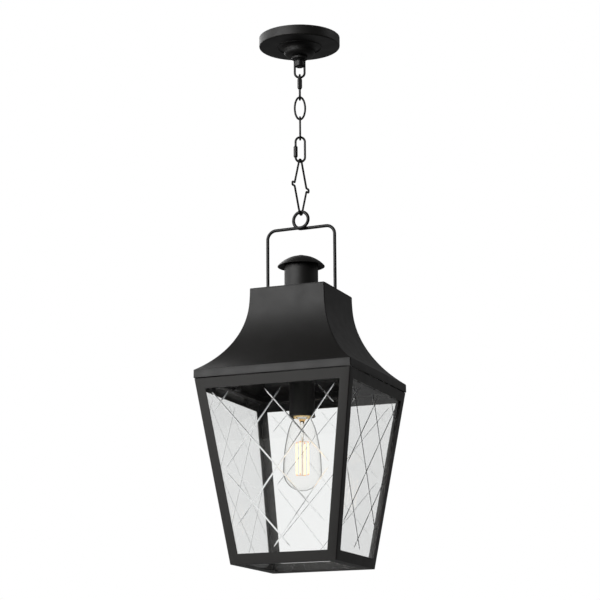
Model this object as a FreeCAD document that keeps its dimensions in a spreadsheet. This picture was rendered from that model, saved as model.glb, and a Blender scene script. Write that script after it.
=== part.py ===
import FreeCAD, Part
import math
import os
from types import SimpleNamespace

import Sketcher
from FreeCAD import Placement, Rotation, Vector

# A hanging lantern: ceiling canopy, chain, wire bail, flared roof and a tapered glazed body.
# Millimetres. The origin is on the lantern's axis in the ceiling plane, +Z is up, and the
# lantern's own front face looks along -Y.

doc = FreeCAD.newDocument("hanging_lantern")

# ---------------------------------------------------------------- driving sizes
DRIVING_SIZES = {
    # ceiling group
    "strap_length": 114.0,
    "strap_width": 20.0,
    "strap_thickness": 2.0,
    "slot_spacing": 88.9,
    "slot_length": 13.0,
    "slot_width": 5.0,
    "nipple_radius": 4.8,
    "nipple_bore_radius": 3.5,
    "canopy_radius": 63.5,
    "canopy_depth": 15.8,
    "canopy_sheet": 1.2,
    "canopy_lip_radius": 2.0,
    "canopy_bead_place": 34.5,
    "canopy_bead_radius": 1.2,
    "canopy_bell_radius": 32.0,
    "canopy_bell_curve": 7.6,
    "canopy_hole_radius": 10.5,
    "collar_radius": 12.4,
    "collar_height": 5.0,
    "thread_clearance": 0.05,
    "shank_radius": 9.85,
    "loop_body_radius": 7.4,
    "loop_body_foot": 48.5,
    "loop_wire": 3.6,
    "loop_half_width": 7.65,
    "loop_bar_drop": 65.3,
    # chain
    "link_gap": 0.3,
    "chain_turn": 21.5,
    "quick_wire": 3.5,
    "quick_length": 43.3,
    "quick_width": 18.0,
    "quick_nut_length": 18.0,
    "quick_nut_radius": 3.75,
    "quick_mouth": 6.0,
    "link_wire": 3.2,
    "link_length": 39.5,
    "link_width": 19.5,
    "hanger_turn": 84.4,
    "hanger_wire": 3.2,
    "hanger_height": 92.0,
    "hanger_leg_turn": 22.0,
    "hanger_bend_radius": 4.5,
    "knuckle_tip": 27.6,
    "knuckle_half_height": 2.6,
    "knuckle_bend_radius": 2.1,
    "knuckle_mouth": 0.8,
    # bail
    "rod_diameter": 5.0,
    "ring_radius": 13.0,
    "coil_gap": 0.6,
    "bail_height": 102.4,
    "bail_half_width": 55.5,
    "bail_corner_radius": 14.0,
    "bail_nut_side": 8.0,
    "bail_nut_height": 4.0,
    # roof
    "roof_sheet": 1.0,
    "roof_plate_thickness": 1.2,
    "roof_top_half": 60.75,
    "roof_upper_radius": 290.0,
    "roof_upper_turn": 5.0,
    "roof_lower_turn": 56.8,
    "eave_half": 125.0,
    "eave_height": 12.2,
    "chimney_radius": 26.0,
    "chimney_notch_depth": 4.5,
    "chimney_notch_width": 9.0,
    "cap_radius": 36.4,
    "cap_dome_height": 16.2,
    "cap_rim_above_roof": 42.0,
    "grommet_radius": 5.0,
    # tapered body
    "eave_gap": 1.3,
    "eave_overhang": 1.1,
    "body_foot_half": 83.4,
    "body_height": 273.8,
    "flange": 15.0,
    "angle_thickness": 1.5,
    "pane_thickness": 3.0,
    "pane_clearance": 0.5,
    "clip_width": 12.0,
    "clip_height": 14.0,
    "clip_place": 62.0,
    "clip_thickness": 1.0,
    "bracket_place": 45.0,
    "bracket_width": 14.0,
    "bracket_foot": 10.0,
    "screw_radius": 1.6,
    "screw_head_radius": 3.0,
    "screw_head_height": 1.8,
    # lamp
    "crossbar_width": 20.0,
    "crossbar_thickness": 2.0,
    "crossbar_inset": 17.9,
    "crossbar_foot": 14.0,
    "cover_overlap": 1.25,
    "cover_height": 8.0,
    "cover_above_body": 11.3,
    "sleeve_radius": 19.5,
    "sleeve_height": 51.0,
    "sleeve_lip": 0.9,
    "socket_sheet": 0.8,
    "porcelain_radius": 17.6,
    "porcelain_drop": 5.0,
    "porcelain_height": 45.0,
    "porcelain_floor": 19.5,
    "shell_radius": 14.0,
    "shell_sheet": 0.6,
    "shell_height": 23.0,
    "contact_radius": 4.0,
    "contact_height": 1.5,
    "base_radius": 12.9,
    "base_height": 30.0,
    "base_tip_height": 3.0,
    "bulb_radius": 29.0,
    "bulb_side_turn": 17.4,
    "bulb_side_length": 75.0,
    "bulb_neck_height": 3.7,
    "bulb_glass": 0.8,
    "stem_radius": 4.0,
    "stem_length": 36.0,
    "filament_radius": 1.2,
    "filament_length": 50.0,
    "filament_circle": 9.4,
    "support_thickness": 1.0,
}

# App names, such as XY_Plane, of the planes that each body's sketches lie on
FLOOR_PLANE, SIDE_PLANE = "XY_Plane", "XZ_Plane"
SMALL = 1e-6


class Size:
    """A length or angle: its value now, and the expression that keeps it bound to the sheet."""

    def __init__(self, value, text):
        self.value = value
        self.text = text

    def _with(self, sign, other, value):
        return Size(value, f"({self.text} {sign} {other.text})")

    def __add__(self, other):
        other = as_size(other)
        return self._with("+", other, self.value + other.value)

    def __sub__(self, other):
        other = as_size(other)
        return self._with("-", other, self.value - other.value)

    def __mul__(self, other):
        other = as_size(other)
        return self._with("*", other, self.value * other.value)

    def __truediv__(self, other):
        other = as_size(other)
        return self._with("/", other, self.value / other.value)

    def __radd__(self, other):
        return as_size(other) + self

    def __rsub__(self, other):
        return as_size(other) - self

    def __rmul__(self, other):
        return as_size(other) * self

    def __neg__(self):
        return as_size(0) - self


def as_size(number):
    return number if isinstance(number, Size) else Size(float(number), str(float(number)))


def cosine(angle):
    return Size(math.cos(math.radians(angle.value)), f"cos({angle.text})")


def sine(angle):
    return Size(math.sin(math.radians(angle.value)), f"sin({angle.text})")


def root(area):
    return Size(math.sqrt(area.value), f"sqrt({area.text})")


sheet = doc.addObject("Spreadsheet::Sheet", "Sizes")
for row, (alias, number) in enumerate(DRIVING_SIZES.items(), start=1):
    sheet.set(f"A{row}", alias.replace("_", " "))
    sheet.set(f"B{row}", str(number))
    sheet.setAlias(f"B{row}", alias)
size = SimpleNamespace(**{a: Size(v, f"Sizes.{a}") for a, v in DRIVING_SIZES.items()})
levels = doc.addObject("App::VarSet", "Derived")
doc.recompute()


def derived(name, worked_out):
    """A size worked out from the sheet, kept under a name of its own in the document."""
    levels.addProperty("App::PropertyFloat", name)
    levels.setExpression(name, worked_out.text)
    return Size(worked_out.value, f"Derived.{name}")


# ---------------------------------------------------------------- building blocks
def bind(thing, **sizes):
    """Binds properties to sizes; a double underscore in a name stands for a dot."""
    for name, value in sizes.items():
        thing.setExpression(name.replace("__", "."), as_size(value).text)


def place(thing, spot=(0, 0, 0), turn=0.0, tilt=0.0):
    """Tilts a piece about its own X axis, turns it about Z and puts it at a bound spot."""
    rotation = Rotation(Vector(0, 0, 1), turn) * Rotation(Vector(1, 0, 0), tilt)
    spot = [as_size(s) for s in spot]
    thing.Placement = Placement(Vector(*[s.value for s in spot]), rotation)
    bind(thing, Placement__Base__x=spot[0], Placement__Base__y=spot[1], Placement__Base__z=spot[2])
    return thing


def turn_with_chain(thing, turn):
    """Keeps a piece's turn about Z bound to an angle of the sheet."""
    thing.setExpression("Placement.Rotation.Angle", turn.text)


def part_object(kind, name, **sizes):
    thing = doc.addObject(kind, name)
    bind(thing, **sizes)
    return thing


def cylinder(name, radius, height, spot=(0, 0, 0)):
    return place(part_object("Part::Cylinder", name, Radius=radius, Height=height), spot)


def block(name, length, width, height, spot, turn=0.0):
    thing = part_object("Part::Box", name, Length=length, Width=width, Height=height)
    return place(thing, spot, turn)


def hexagon(name, radius, height, spot):
    thing = part_object("Part::Prism", name, Circumradius=radius, Height=height)
    thing.Polygon = 6
    return place(thing, spot)


def cut(name, base, *tools):
    for index, tool in enumerate(tools):
        step = doc.addObject("Part::Cut", name if index == len(tools) - 1 else f"{name}_cut{index}")
        step.Base, step.Tool = base, tool
        base = step
    return base


def fuse(name, *shapes):
    thing = doc.addObject("Part::MultiFuse", name)
    thing.Shapes = list(shapes)
    return thing


def group(name, shapes):
    thing = doc.addObject("Part::Compound", name)
    thing.Links = list(shapes)
    return thing


def body_plane(body, role):
    return next(f for f in body.Origin.OriginFeatures if f.Role == role)


def sketch_on(body, role, name, lift=None):
    sketch = body.newObject("Sketcher::SketchObject", name)
    sketch.AttachmentSupport = [(body_plane(body, role), "")]
    sketch.MapMode = "FlatFace"
    if lift is not None:
        sketch.AttachmentOffset = Placement(Vector(0, 0, lift.value), Rotation())
        sketch.setExpression("AttachmentOffset.Base.z", lift.text)
    return sketch


def fix(sketch, axis, geometry, end, value):
    """Holds one coordinate of a point at a bound distance from the sketch's origin."""
    if abs(value.value) < SMALL:
        sketch.addConstraint(Sketcher.Constraint("PointOnObject", geometry, end, -2 if axis == "X" else -1))
        return
    number = sketch.addConstraint(Sketcher.Constraint("Distance" + axis, geometry, end, value.value))
    sketch.setExpression(f"Constraints[{number}]", value.text)


def draw(sketch, corners, closed=True):
    """Draws bound lines and arcs through corners, each (x, y) or (x, y, centre x, centre y[, turn]).

    A corner's centre makes the edge that leaves it an arc about that centre, the short way round;
    an arc of half a turn says "left" or "right". A closed outline starts where a straight line ends.
    """
    corners = [tuple(c if isinstance(c, str) else as_size(c) for c in corner) for corner in corners]
    first = len(sketch.Geometry)
    count = len(corners) if closed else len(corners) - 1
    heads, tails = [], []
    for i in range(count):
        here, there = corners[i], corners[(i + 1) % len(corners)]
        start = Vector(here[0].value, here[1].value, 0)
        finish = Vector(there[0].value, there[1].value, 0)
        if len(here) == 2:
            sketch.addGeometry(Part.LineSegment(start, finish))
            runs_forward = True
        else:
            centre = Vector(here[2].value, here[3].value, 0)
            out, back = start - centre, finish - centre
            runs_forward = here[4] == "left" if len(here) > 4 else out.x * back.y > out.y * back.x
            spans = (out, back) if runs_forward else (back, out)
            angles = [math.atan2(v.y, v.x) for v in spans]
            if angles[1] <= angles[0]:
                angles[1] += 2 * math.pi
            sketch.addGeometry(Part.ArcOfCircle(Part.Circle(centre, Vector(0, 0, 1), out.Length), *angles))
        heads.append((first + i, 1 if runs_forward else 2))
        tails.append((first + i, 2 if runs_forward else 1))

    def fix_corner(corner, before, point):
        """Holds a corner; one that ends an arc needs only the coordinate that runs along the arc."""
        whole = len(before) < 3
        runs_up = not whole and (
            abs(corner[0].value - before[2].value) <= abs(corner[1].value - before[3].value)
        )
        if whole or runs_up:
            fix(sketch, "X", *point, corner[0])
        if whole or not runs_up:
            fix(sketch, "Y", *point, corner[1])

    for i in range(count):
        if i:
            sketch.addConstraint(Sketcher.Constraint("Coincident", *tails[i - 1], *heads[i]))
        if len(corners[i]) > 2:
            fix(sketch, "X", first + i, 3, corners[i][2])
            fix(sketch, "Y", first + i, 3, corners[i][3])
        fix_corner(corners[i], corners[i - 1] if i else (), heads[i])
    if closed:
        sketch.addConstraint(Sketcher.Constraint("Coincident", *tails[-1], *heads[0]))
    else:
        fix_corner(corners[-1], corners[-2], tails[-1])


def ring(sketch, x, y, radius):
    """A bound full circle."""
    x, y, radius = as_size(x), as_size(y), as_size(radius)
    number = sketch.addGeometry(Part.Circle(Vector(x.value, y.value, 0), Vector(0, 0, 1), radius.value))
    fix(sketch, "X", number, 3, x)
    fix(sketch, "Y", number, 3, y)
    held = sketch.addConstraint(Sketcher.Constraint("Radius", number, radius.value))
    sketch.setExpression(f"Constraints[{held}]", radius.text)


def new_body(name):
    return doc.addObject("PartDesign::Body", name)


def turned(name, corners):
    """A piece turned about Z from an outline of (radius, height) corners."""
    body = new_body(name)
    sketch = sketch_on(body, SIDE_PLANE, name + "_outline")
    draw(sketch, corners)
    doc.recompute()
    revolution = body.newObject("PartDesign::Revolution", name + "_turning")
    revolution.Profile = sketch
    revolution.ReferenceAxis = (sketch, ["V_Axis"])
    revolution.Angle = 360
    return body


def padded(name, role, outlines, length, midplane=False):
    """A plate or bar: outlines on one of its own planes, given one length; (x, y, radius) is a round one."""
    body = new_body(name)
    sketch = sketch_on(body, role, name + "_outline")
    for outline in outlines:
        if isinstance(outline, tuple):
            ring(sketch, *outline)
        else:
            draw(sketch, outline)
    doc.recompute()
    pad = body.newObject("PartDesign::Pad", name + "_pad")
    pad.Profile = sketch
    pad.Midplane = midplane
    bind(pad, Length=length)
    return body


def rectangle(left, right, low, high):
    return [(left, low), (right, low), (right, high), (left, high)]


def slot_outline(x, length, width):
    """A round-ended slot along X, centred at x."""
    reach, side = (length - width) / 2, width / 2
    return [
        (x + reach, -side, x + reach, 0, "left"),
        (x + reach, side),
        (x - reach, side, x - reach, 0, "left"),
        (x - reach, -side),
    ]


def rounded_wire(points, radii):
    """Straight runs through points in space, joined at each inner point by an arc of its radius."""
    edges, start = [], points[0]
    for before, corner, after, radius in zip(points, points[1:], points[2:], radii):
        inward, outward = (before - corner).normalize(), (after - corner).normalize()
        half = inward.getAngle(outward) / 2
        reach = radius / math.tan(half)
        first, last = corner + inward * reach, corner + outward * reach
        middle = corner + (inward + outward).normalize() * (radius / math.sin(half) - radius)
        edges.append(Part.LineSegment(start, first).toShape())
        edges.append(Part.Arc(first, middle, last).toShape())
        start = last
    edges.append(Part.LineSegment(start, points[-1]).toShape())
    return edges


def swept(name, edges, start, heading, radius):
    """A round rod along edges in space."""
    path = Part.Wire(edges)
    section = Part.Wire([Part.Circle(start, heading, radius).toShape()])
    rod = doc.addObject("Part::Feature", name)
    rod.Shape = path.makePipeShell([section], True, False)
    return rod


# ---------------------------------------------------------------- heights along the chain
s = size
loop_bar = -s.loop_bar_drop
quick_run = derived("quick_run", s.quick_length - s.quick_wire)
link_run = derived("link_run", s.link_length - s.link_wire)
quick1_mid = derived(
    "quick1_mid", loop_bar + (s.loop_wire + s.quick_wire) / 2 + s.link_gap - quick_run / 2
)
link_to_quick = derived("link_to_quick", (s.quick_wire + s.link_wire) / 2 + s.link_gap)
link1_mid = derived("link1_mid", quick1_mid - quick_run / 2 + link_to_quick - link_run / 2)
link2_mid = derived("link2_mid", link1_mid - link_run + s.link_wire + s.link_gap)
quick2_mid = derived("quick2_mid", link2_mid - link_run / 2 + link_to_quick - quick_run / 2)
hanger_run = derived("hanger_run", s.hanger_height - s.hanger_wire)
hanger_mid = derived(
    "hanger_mid",
    quick2_mid - quick_run / 2 + (s.quick_wire + s.hanger_wire) / 2 + s.link_gap - hanger_run / 2,
)
ring_top = derived(
    "ring_top", hanger_mid - hanger_run / 2 + (s.hanger_wire + s.rod_diameter) / 2 + s.link_gap
)
bail_bar = derived("bail_bar", ring_top - 2 * s.ring_radius)
roof_top = derived("roof_top", bail_bar - s.bail_height)

# ---------------------------------------------------------------- ceiling group
mounting_strap = padded(
    "mounting_strap",
    FLOOR_PLANE,
    [
        rectangle(-s.strap_length / 2, s.strap_length / 2, -s.strap_width / 2, s.strap_width / 2),
        slot_outline(-s.slot_spacing / 2, s.slot_length, s.slot_width),
        slot_outline(s.slot_spacing / 2, s.slot_length, s.slot_width),
        (0, 0, s.nipple_radius),
        (-s.strap_length / 4 + 6, 0, s.screw_radius),
    ],
    s.strap_thickness,
)
place(mounting_strap, (0, 0, -s.strap_thickness))

ground_x = -s.strap_length / 4 + 6
ground_screw = fuse(
    "ground_screw",
    cylinder("ground_screw_shank", s.screw_radius, s.strap_thickness, (ground_x, 0, -s.strap_thickness)),
    cylinder(
        "ground_screw_head",
        s.screw_head_radius,
        s.screw_head_height,
        (ground_x, 0, -s.strap_thickness - s.screw_head_height),
    ),
)

# The loop is turned on a threaded shank, which fills the canopy's hole with room to spare
bell_foot = derived("bell_foot", -s.canopy_depth - 2 * s.canopy_bell_curve)
shank_foot = derived("shank_foot", bell_foot - s.collar_height - 2)
shank_head = derived("shank_head", bell_foot + 8)
nipple_foot = derived("nipple_foot", shank_head - 8)
threaded_nipple = cut(
    "threaded_nipple",
    cylinder("nipple_rod", s.nipple_radius, -nipple_foot, (0, 0, nipple_foot)),
    cylinder("nipple_bore", s.nipple_bore_radius, -nipple_foot, (0, 0, nipple_foot)),
)
lock_nut_height = s.strap_thickness * 1.5
lock_nut_foot = -s.strap_thickness - lock_nut_height
lock_nut = cut(
    "nipple_lock_nut",
    hexagon("lock_nut_blank", s.nipple_radius + 3.2, lock_nut_height, (0, 0, lock_nut_foot)),
    cylinder("lock_nut_bore", s.nipple_radius, lock_nut_height, (0, 0, lock_nut_foot)),
)

lip, bead, curve = s.canopy_lip_radius, s.canopy_bead_radius, s.canopy_bell_curve
outer, floor, sheet_t = s.canopy_radius, -s.canopy_depth, s.canopy_sheet
bell = s.canopy_bell_radius
canopy = turned(
    "canopy",
    [
        (outer, 0),
        (outer, floor + lip, outer - lip, floor + lip),
        (outer - lip, floor),
        (s.canopy_bead_place + bead, floor, s.canopy_bead_place, floor, "right"),
        (s.canopy_bead_place - bead, floor),
        (bell, floor, bell, floor - curve),
        (bell - curve, floor - curve, bell - 2 * curve, floor - curve),
        (bell - 2 * curve, bell_foot),
        (s.canopy_hole_radius, bell_foot),
        (s.canopy_hole_radius, bell_foot + sheet_t),
        (bell - 2 * curve, bell_foot + sheet_t, bell - 2 * curve, floor - curve),
        (bell - curve - sheet_t, floor - curve, bell, floor - curve),
        (bell, floor + sheet_t),
        (outer - lip, floor + sheet_t, outer - lip, floor + lip),
        (outer - sheet_t, floor + lip),
        (outer - sheet_t, 0),
    ],
)
collar_foot = derived("collar_foot", bell_foot - s.collar_height)
collar_bore = s.shank_radius + s.thread_clearance
screw_collar = turned(
    "screw_collar",
    [
        (collar_bore, collar_foot),
        (s.collar_radius - 1, collar_foot),
        (s.collar_radius, collar_foot + 1),
        (s.collar_radius, bell_foot),
        (collar_bore, bell_foot),
    ],
)

# Canopy loop: shank, round-ended body and a U of wire, turned with the chain
loop_blank = turned(
    "loop_turning",
    [
        (s.nipple_radius, shank_head),
        (s.nipple_radius, nipple_foot),
        (0, nipple_foot),
        (0, -s.loop_body_foot),
        (s.loop_body_radius - 3, -s.loop_body_foot, s.loop_body_radius - 3, 3 - s.loop_body_foot),
        (s.loop_body_radius, 3 - s.loop_body_foot),
        (s.loop_body_radius, shank_foot),
        (s.shank_radius, shank_foot),
        (s.shank_radius, shank_head),
    ],
)


def pipe_body(name, path, wire, closed=False):
    """A wire bent in the body's XZ plane; its path starts by running along Z."""
    body = new_body(name)
    spine = sketch_on(body, SIDE_PLANE, name + "_path")
    draw(spine, path, closed)
    section = sketch_on(body, FLOOR_PLANE, name + "_section", as_size(path[0][1]))
    ring(section, path[0][0], 0, wire / 2)
    doc.recompute()
    pipe = body.newObject("PartDesign::AdditivePipe", name + "_pipe")
    pipe.Profile = section
    pipe.Spine = (spine, [f"Edge{i + 1}" for i in range(len(spine.Geometry))])
    return body


bend_height = loop_bar + s.loop_half_width
loop_wire_body = pipe_body(
    "loop_wire_part",
    [
        (-s.loop_half_width, shank_foot + 1),
        (-s.loop_half_width, bend_height, 0, bend_height, "left"),
        (s.loop_half_width, bend_height),
        (s.loop_half_width, shank_foot + 1),
    ],
    s.loop_wire,
)
canopy_loop = fuse("canopy_loop", loop_blank, loop_wire_body)
canopy_loop.Placement = Placement(Vector(), Rotation(Vector(0, 0, 1), s.chain_turn.value))
turn_with_chain(canopy_loop, s.chain_turn)

# ---------------------------------------------------------------- chain
quick_reach = (s.quick_width - s.quick_wire) / 2
quick_straight = derived("quick_straight", quick_run / 2 - quick_reach)


def quick_link(name, middle, turn, mouth_low, nut_low):
    """An oval link of bent rod with a mouth in its -X leg, which a sleeve nut bridges."""
    mouth_high = mouth_low + s.quick_mouth
    link = pipe_body(
        name,
        [
            (-quick_reach, mouth_low),
            (-quick_reach, -quick_straight, 0, -quick_straight, "left"),
            (quick_reach, -quick_straight),
            (quick_reach, quick_straight, 0, quick_straight, "left"),
            (-quick_reach, quick_straight),
            (-quick_reach, mouth_high),
        ],
        s.quick_wire,
    )
    place(link, (0, 0, middle), turn.value)
    turn_with_chain(link, turn)
    blank = hexagon(name + "_nut_blank", s.quick_nut_radius, s.quick_nut_length, (-quick_reach, 0, nut_low))
    bore = cylinder(
        name + "_nut_bore",
        s.quick_wire / 2 + s.thread_clearance,
        s.quick_nut_length,
        (-quick_reach, 0, nut_low),
    )
    nut = cut(name + "_nut", blank, bore)
    place(nut, (0, 0, middle), turn.value)
    turn_with_chain(nut, turn)
    return link, nut


face_on, edge_on = s.chain_turn, s.chain_turn + 90
upper_quick_link, upper_quick_link_nut = quick_link(
    "upper_quick_link",
    quick1_mid,
    edge_on,
    quick_straight - s.quick_mouth - 1,
    quick_straight - s.quick_nut_length,
)
lower_quick_link, lower_quick_link_nut = quick_link(
    "lower_quick_link", quick2_mid, face_on, 1 - quick_straight, -quick_straight
)


def chain_link(name, middle, turn):
    """A welded link whose wire follows an ellipse."""
    spine = part_object("Part::Ellipse", name + "_path", MajorRadius=link_run / 2)
    bind(spine, MinorRadius=(s.link_width - s.link_wire) / 2)
    section = part_object("Part::Circle", name + "_section", Radius=s.link_wire / 2)
    place(section, (link_run / 2, 0, 0), 0, 90)
    doc.recompute()
    link = doc.addObject("Part::Sweep", name)
    link.Sections = [section]
    link.Spine = (spine, ["Edge1"])
    link.Solid = True
    link.Frenet = True
    stood_up = Rotation(Vector(0, 1, 0), -90) * Rotation(Vector(1, 0, 0), 90)
    upright = Rotation(Vector(0, 0, 1), turn.value) * stood_up
    link.Placement = Placement(Vector(0, 0, middle.value), upright)
    bind(link, Placement__Base__z=middle)
    return link


chain_link_1 = chain_link("chain_link_1", link1_mid, face_on)
chain_link_2 = chain_link("chain_link_2", link2_mid, edge_on)


def hanger_corners():
    """The diamond's corners in its own XZ plane: it starts and ends at the mouth in the -X knuckle."""
    slope = math.radians(s.hanger_leg_turn.value)
    tip = hanger_run.value / 2 + s.hanger_bend_radius.value * (1 / math.sin(slope) - 1)
    tall, mouth = s.knuckle_half_height.value, s.knuckle_mouth.value / 2
    leg, out = (tip - tall) * math.tan(slope), s.knuckle_tip.value
    lower = [(-out, -mouth), (-out, -tall), (-leg, -tall), (0, -tip), (leg, -tall), (out, -tall)]
    upper = [(x, -z) for x, z in reversed(lower)]
    return [Vector(x, 0, z) for x, z in lower + upper]


knuckle_bend, hanger_bend = s.knuckle_bend_radius.value, s.hanger_bend_radius.value
half_bends = [knuckle_bend, knuckle_bend, hanger_bend, knuckle_bend, knuckle_bend]
hanger_points = hanger_corners()
hanger_link = swept(
    "hanger_link",
    rounded_wire(hanger_points, half_bends + half_bends[::-1]),
    hanger_points[0],
    Vector(0, 0, 1),
    s.hanger_wire.value / 2,
)
place(hanger_link, (0, 0, hanger_mid), s.hanger_turn.value)
turn_with_chain(hanger_link, s.hanger_turn)

# ---------------------------------------------------------------- bail
coil_pitch = s.rod_diameter + s.coil_gap
plate_foot = derived("plate_foot", roof_top - s.roof_plate_thickness)
bail_foot = derived("bail_foot", plate_foot - s.bail_nut_height - 4)
RING_SPANS = 16


def ring_curve(half_pitch, reach):
    """One turn of the rod about Y, easing from its front arm at the bottom round to its rear arm."""
    radius, middle = s.ring_radius.value, ring_top.value - s.ring_radius.value
    end_slope = -half_pitch / reach * 2 * math.pi * radius
    points = []
    for step in range(RING_SPANS + 1):
        t = step / RING_SPANS
        ease = 3 * t**2 - 2 * t**3
        y = half_pitch * (2 * ease - 1) + end_slope * (2 * t**3 - 3 * t**2 + t)
        turn = 2 * math.pi * t
        points.append(Vector(radius * math.sin(turn), y, middle - radius * math.cos(turn)))
    arm = Vector(reach, -half_pitch, 0).normalize()
    curve = Part.BSplineCurve()
    curve.interpolate(Points=points, InitialTangent=arm, FinalTangent=arm)
    return curve.toShape()


def bail_edges():
    half, bar, foot = s.bail_half_width.value, bail_bar.value, bail_foot.value
    half_pitch, corner = coil_pitch.value / 2, [s.bail_corner_radius.value]
    left = [Vector(-half, 0, foot), Vector(-half, 0, bar), Vector(0, -half_pitch, bar)]
    right = [Vector(0, half_pitch, bar), Vector(half, 0, bar), Vector(half, 0, foot)]
    return rounded_wire(left, corner) + [ring_curve(half_pitch, half)] + rounded_wire(right, corner)


bail = swept(
    "bail",
    bail_edges(),
    Vector(-s.bail_half_width.value, 0, bail_foot.value),
    Vector(0, 0, 1),
    s.rod_diameter.value / 2,
)
rod_radius = s.rod_diameter / 2
bail_nut_foot = plate_foot - s.bail_nut_height


def square_nut(name, x):
    side = s.bail_nut_side
    blank = block(name + "_blank", side, side, s.bail_nut_height, (x - side / 2, -side / 2, bail_nut_foot))
    return cut(name, blank, cylinder(name + "_bore", rod_radius, s.bail_nut_height, (x, 0, bail_nut_foot)))


bail_nuts = group(
    "bail_nuts",
    [square_nut("bail_nut_left", -s.bail_half_width), square_nut("bail_nut_right", s.bail_half_width)],
)

# ---------------------------------------------------------------- roof
FRONT, RIGHT, BACK, LEFT = "front", "right", "back", "left"
# Turns about Z that carry a piece made for the front, or for the right, to each side
FROM_FRONT = {FRONT: 0.0, RIGHT: 90.0, BACK: 180.0, LEFT: 270.0}
FROM_RIGHT = {RIGHT: 0.0, BACK: 90.0, LEFT: 180.0, FRONT: 270.0}

vent_radius = s.chimney_radius - 4
roof_plate = padded(
    "roof_plate",
    FLOOR_PLANE,
    [
        rectangle(-s.roof_top_half, s.roof_top_half, -s.roof_top_half, s.roof_top_half),
        (0, 0, vent_radius),
        (-s.bail_half_width, 0, rod_radius),
        (s.bail_half_width, 0, rod_radius),
    ],
    s.roof_plate_thickness,
)
place(roof_plate, (0, 0, plate_foot))

# The flare is two tangent arcs whose centres lie outside it: a gentle upper one, then a lower one
upper_sine, upper_cosine = sine(s.roof_upper_turn), cosine(s.roof_upper_turn)
lower_sine, lower_cosine = sine(s.roof_lower_turn), cosine(s.roof_lower_turn)
upper_centre = derived("upper_centre", s.roof_top_half + s.roof_upper_radius)
change_out = derived("change_out", upper_centre - s.roof_upper_radius * upper_cosine)
change_up = derived("change_up", plate_foot - s.roof_upper_radius * upper_sine)
lower_radius = derived("lower_radius", (s.eave_half - change_out) / (upper_cosine - lower_cosine))
lower_centre_out = derived("lower_centre_out", change_out + lower_radius * upper_cosine)
lower_centre_up = derived("lower_centre_up", change_up + lower_radius * upper_sine)
eave_top = derived("eave_top", lower_centre_up - lower_radius * lower_sine)
eave_foot = derived("eave_foot", eave_top - s.eave_height)
eave_inside = s.eave_half - s.roof_sheet
inner_radius = lower_radius + s.roof_sheet
inner_reach = lower_centre_out - eave_inside
eave_inner_top = derived(
    "eave_inner_top", lower_centre_up - root(inner_radius * inner_radius - inner_reach * inner_reach)
)


def roof_panel(side):
    """One flared panel, mitred at the hips where it meets its neighbours."""
    name = f"roof_panel_{side}"
    strip = padded(
        name + "_strip",
        SIDE_PLANE,
        [
            [
                (s.roof_top_half, plate_foot, upper_centre, plate_foot),
                (change_out, change_up, lower_centre_out, lower_centre_up),
                (s.eave_half, eave_top),
                (s.eave_half, eave_foot),
                (eave_inside, eave_foot),
                (eave_inside, eave_inner_top, lower_centre_out, lower_centre_up),
                (
                    change_out - s.roof_sheet * upper_cosine,
                    change_up - s.roof_sheet * upper_sine,
                    upper_centre,
                    plate_foot,
                ),
                (s.roof_top_half - s.roof_sheet, plate_foot),
            ]
        ],
        2 * s.eave_half,
        midplane=True,
    )
    reach = 2 * s.eave_half
    quarter = block(name + "_quarter", reach, reach, plate_foot - eave_foot, (0, 0, eave_foot), -45.0)
    panel = doc.addObject("Part::Common", name)
    panel.Base, panel.Tool = strip, quarter
    return place(panel, (0, 0, 0), FROM_RIGHT[side])


roof_panels = [roof_panel(side) for side in FROM_FRONT]

# The cap is a shallow dome that sits on the chimney's notched rim
cap_rim = derived("cap_rim", roof_top + s.cap_rim_above_roof)
dome_radius = derived(
    "dome_radius",
    (s.cap_radius * s.cap_radius + s.cap_dome_height * s.cap_dome_height) / (2 * s.cap_dome_height),
)
dome_centre = derived("dome_centre", cap_rim + s.cap_dome_height - dome_radius)
dome_inside = dome_radius - s.roof_sheet


def dome_height(radius, out):
    return dome_centre + root(radius * radius - out * out)


hole = s.grommet_radius
rim_share = dome_inside / dome_radius
chimney_cap = turned(
    "chimney_cap",
    [
        (hole, dome_height(dome_radius, hole), 0, dome_centre),
        (s.cap_radius, cap_rim),
        (s.cap_radius * rim_share, dome_centre + (cap_rim - dome_centre) * rim_share, 0, dome_centre),
        (hole, dome_height(dome_inside, hole)),
    ],
)
grommet_foot, grommet_head = dome_height(dome_inside, hole) - 1.5, dome_height(dome_radius, hole) + 1
cord_grommet = turned(
    "cord_grommet",
    [
        (0, grommet_foot + 1),
        (hole - 2, grommet_foot + 1),
        (hole - 2, grommet_foot),
        (hole, grommet_foot),
        (hole, grommet_head - 0.5),
        (hole - 0.5, grommet_head),
        (hole - 2, grommet_head),
        (hole - 2, grommet_head - 1),
        (0, grommet_head - 1),
    ],
)
chimney_top = derived("chimney_top", dome_height(dome_inside, s.chimney_radius))
notch_foot, notch_reach = chimney_top - s.chimney_notch_depth, s.chimney_radius + 1
half_notch = s.chimney_notch_width / 2
chimney = cut(
    "chimney",
    cylinder("chimney_blank", s.chimney_radius, chimney_top - roof_top, (0, 0, roof_top)),
    cylinder("chimney_bore", s.chimney_radius - s.roof_sheet, chimney_top - roof_top, (0, 0, roof_top)),
    block(
        "chimney_notch_x",
        2 * notch_reach,
        s.chimney_notch_width,
        s.chimney_notch_depth,
        (-notch_reach, -half_notch, notch_foot),
    ),
    block(
        "chimney_notch_y",
        s.chimney_notch_width,
        2 * notch_reach,
        s.chimney_notch_depth,
        (-half_notch, -notch_reach, notch_foot),
    ),
)

# ---------------------------------------------------------------- tapered body
angle_t = s.angle_thickness
frame_top = derived("frame_top", eave_foot - s.eave_gap)
frame_foot = derived("frame_foot", frame_top - s.body_height)
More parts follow.
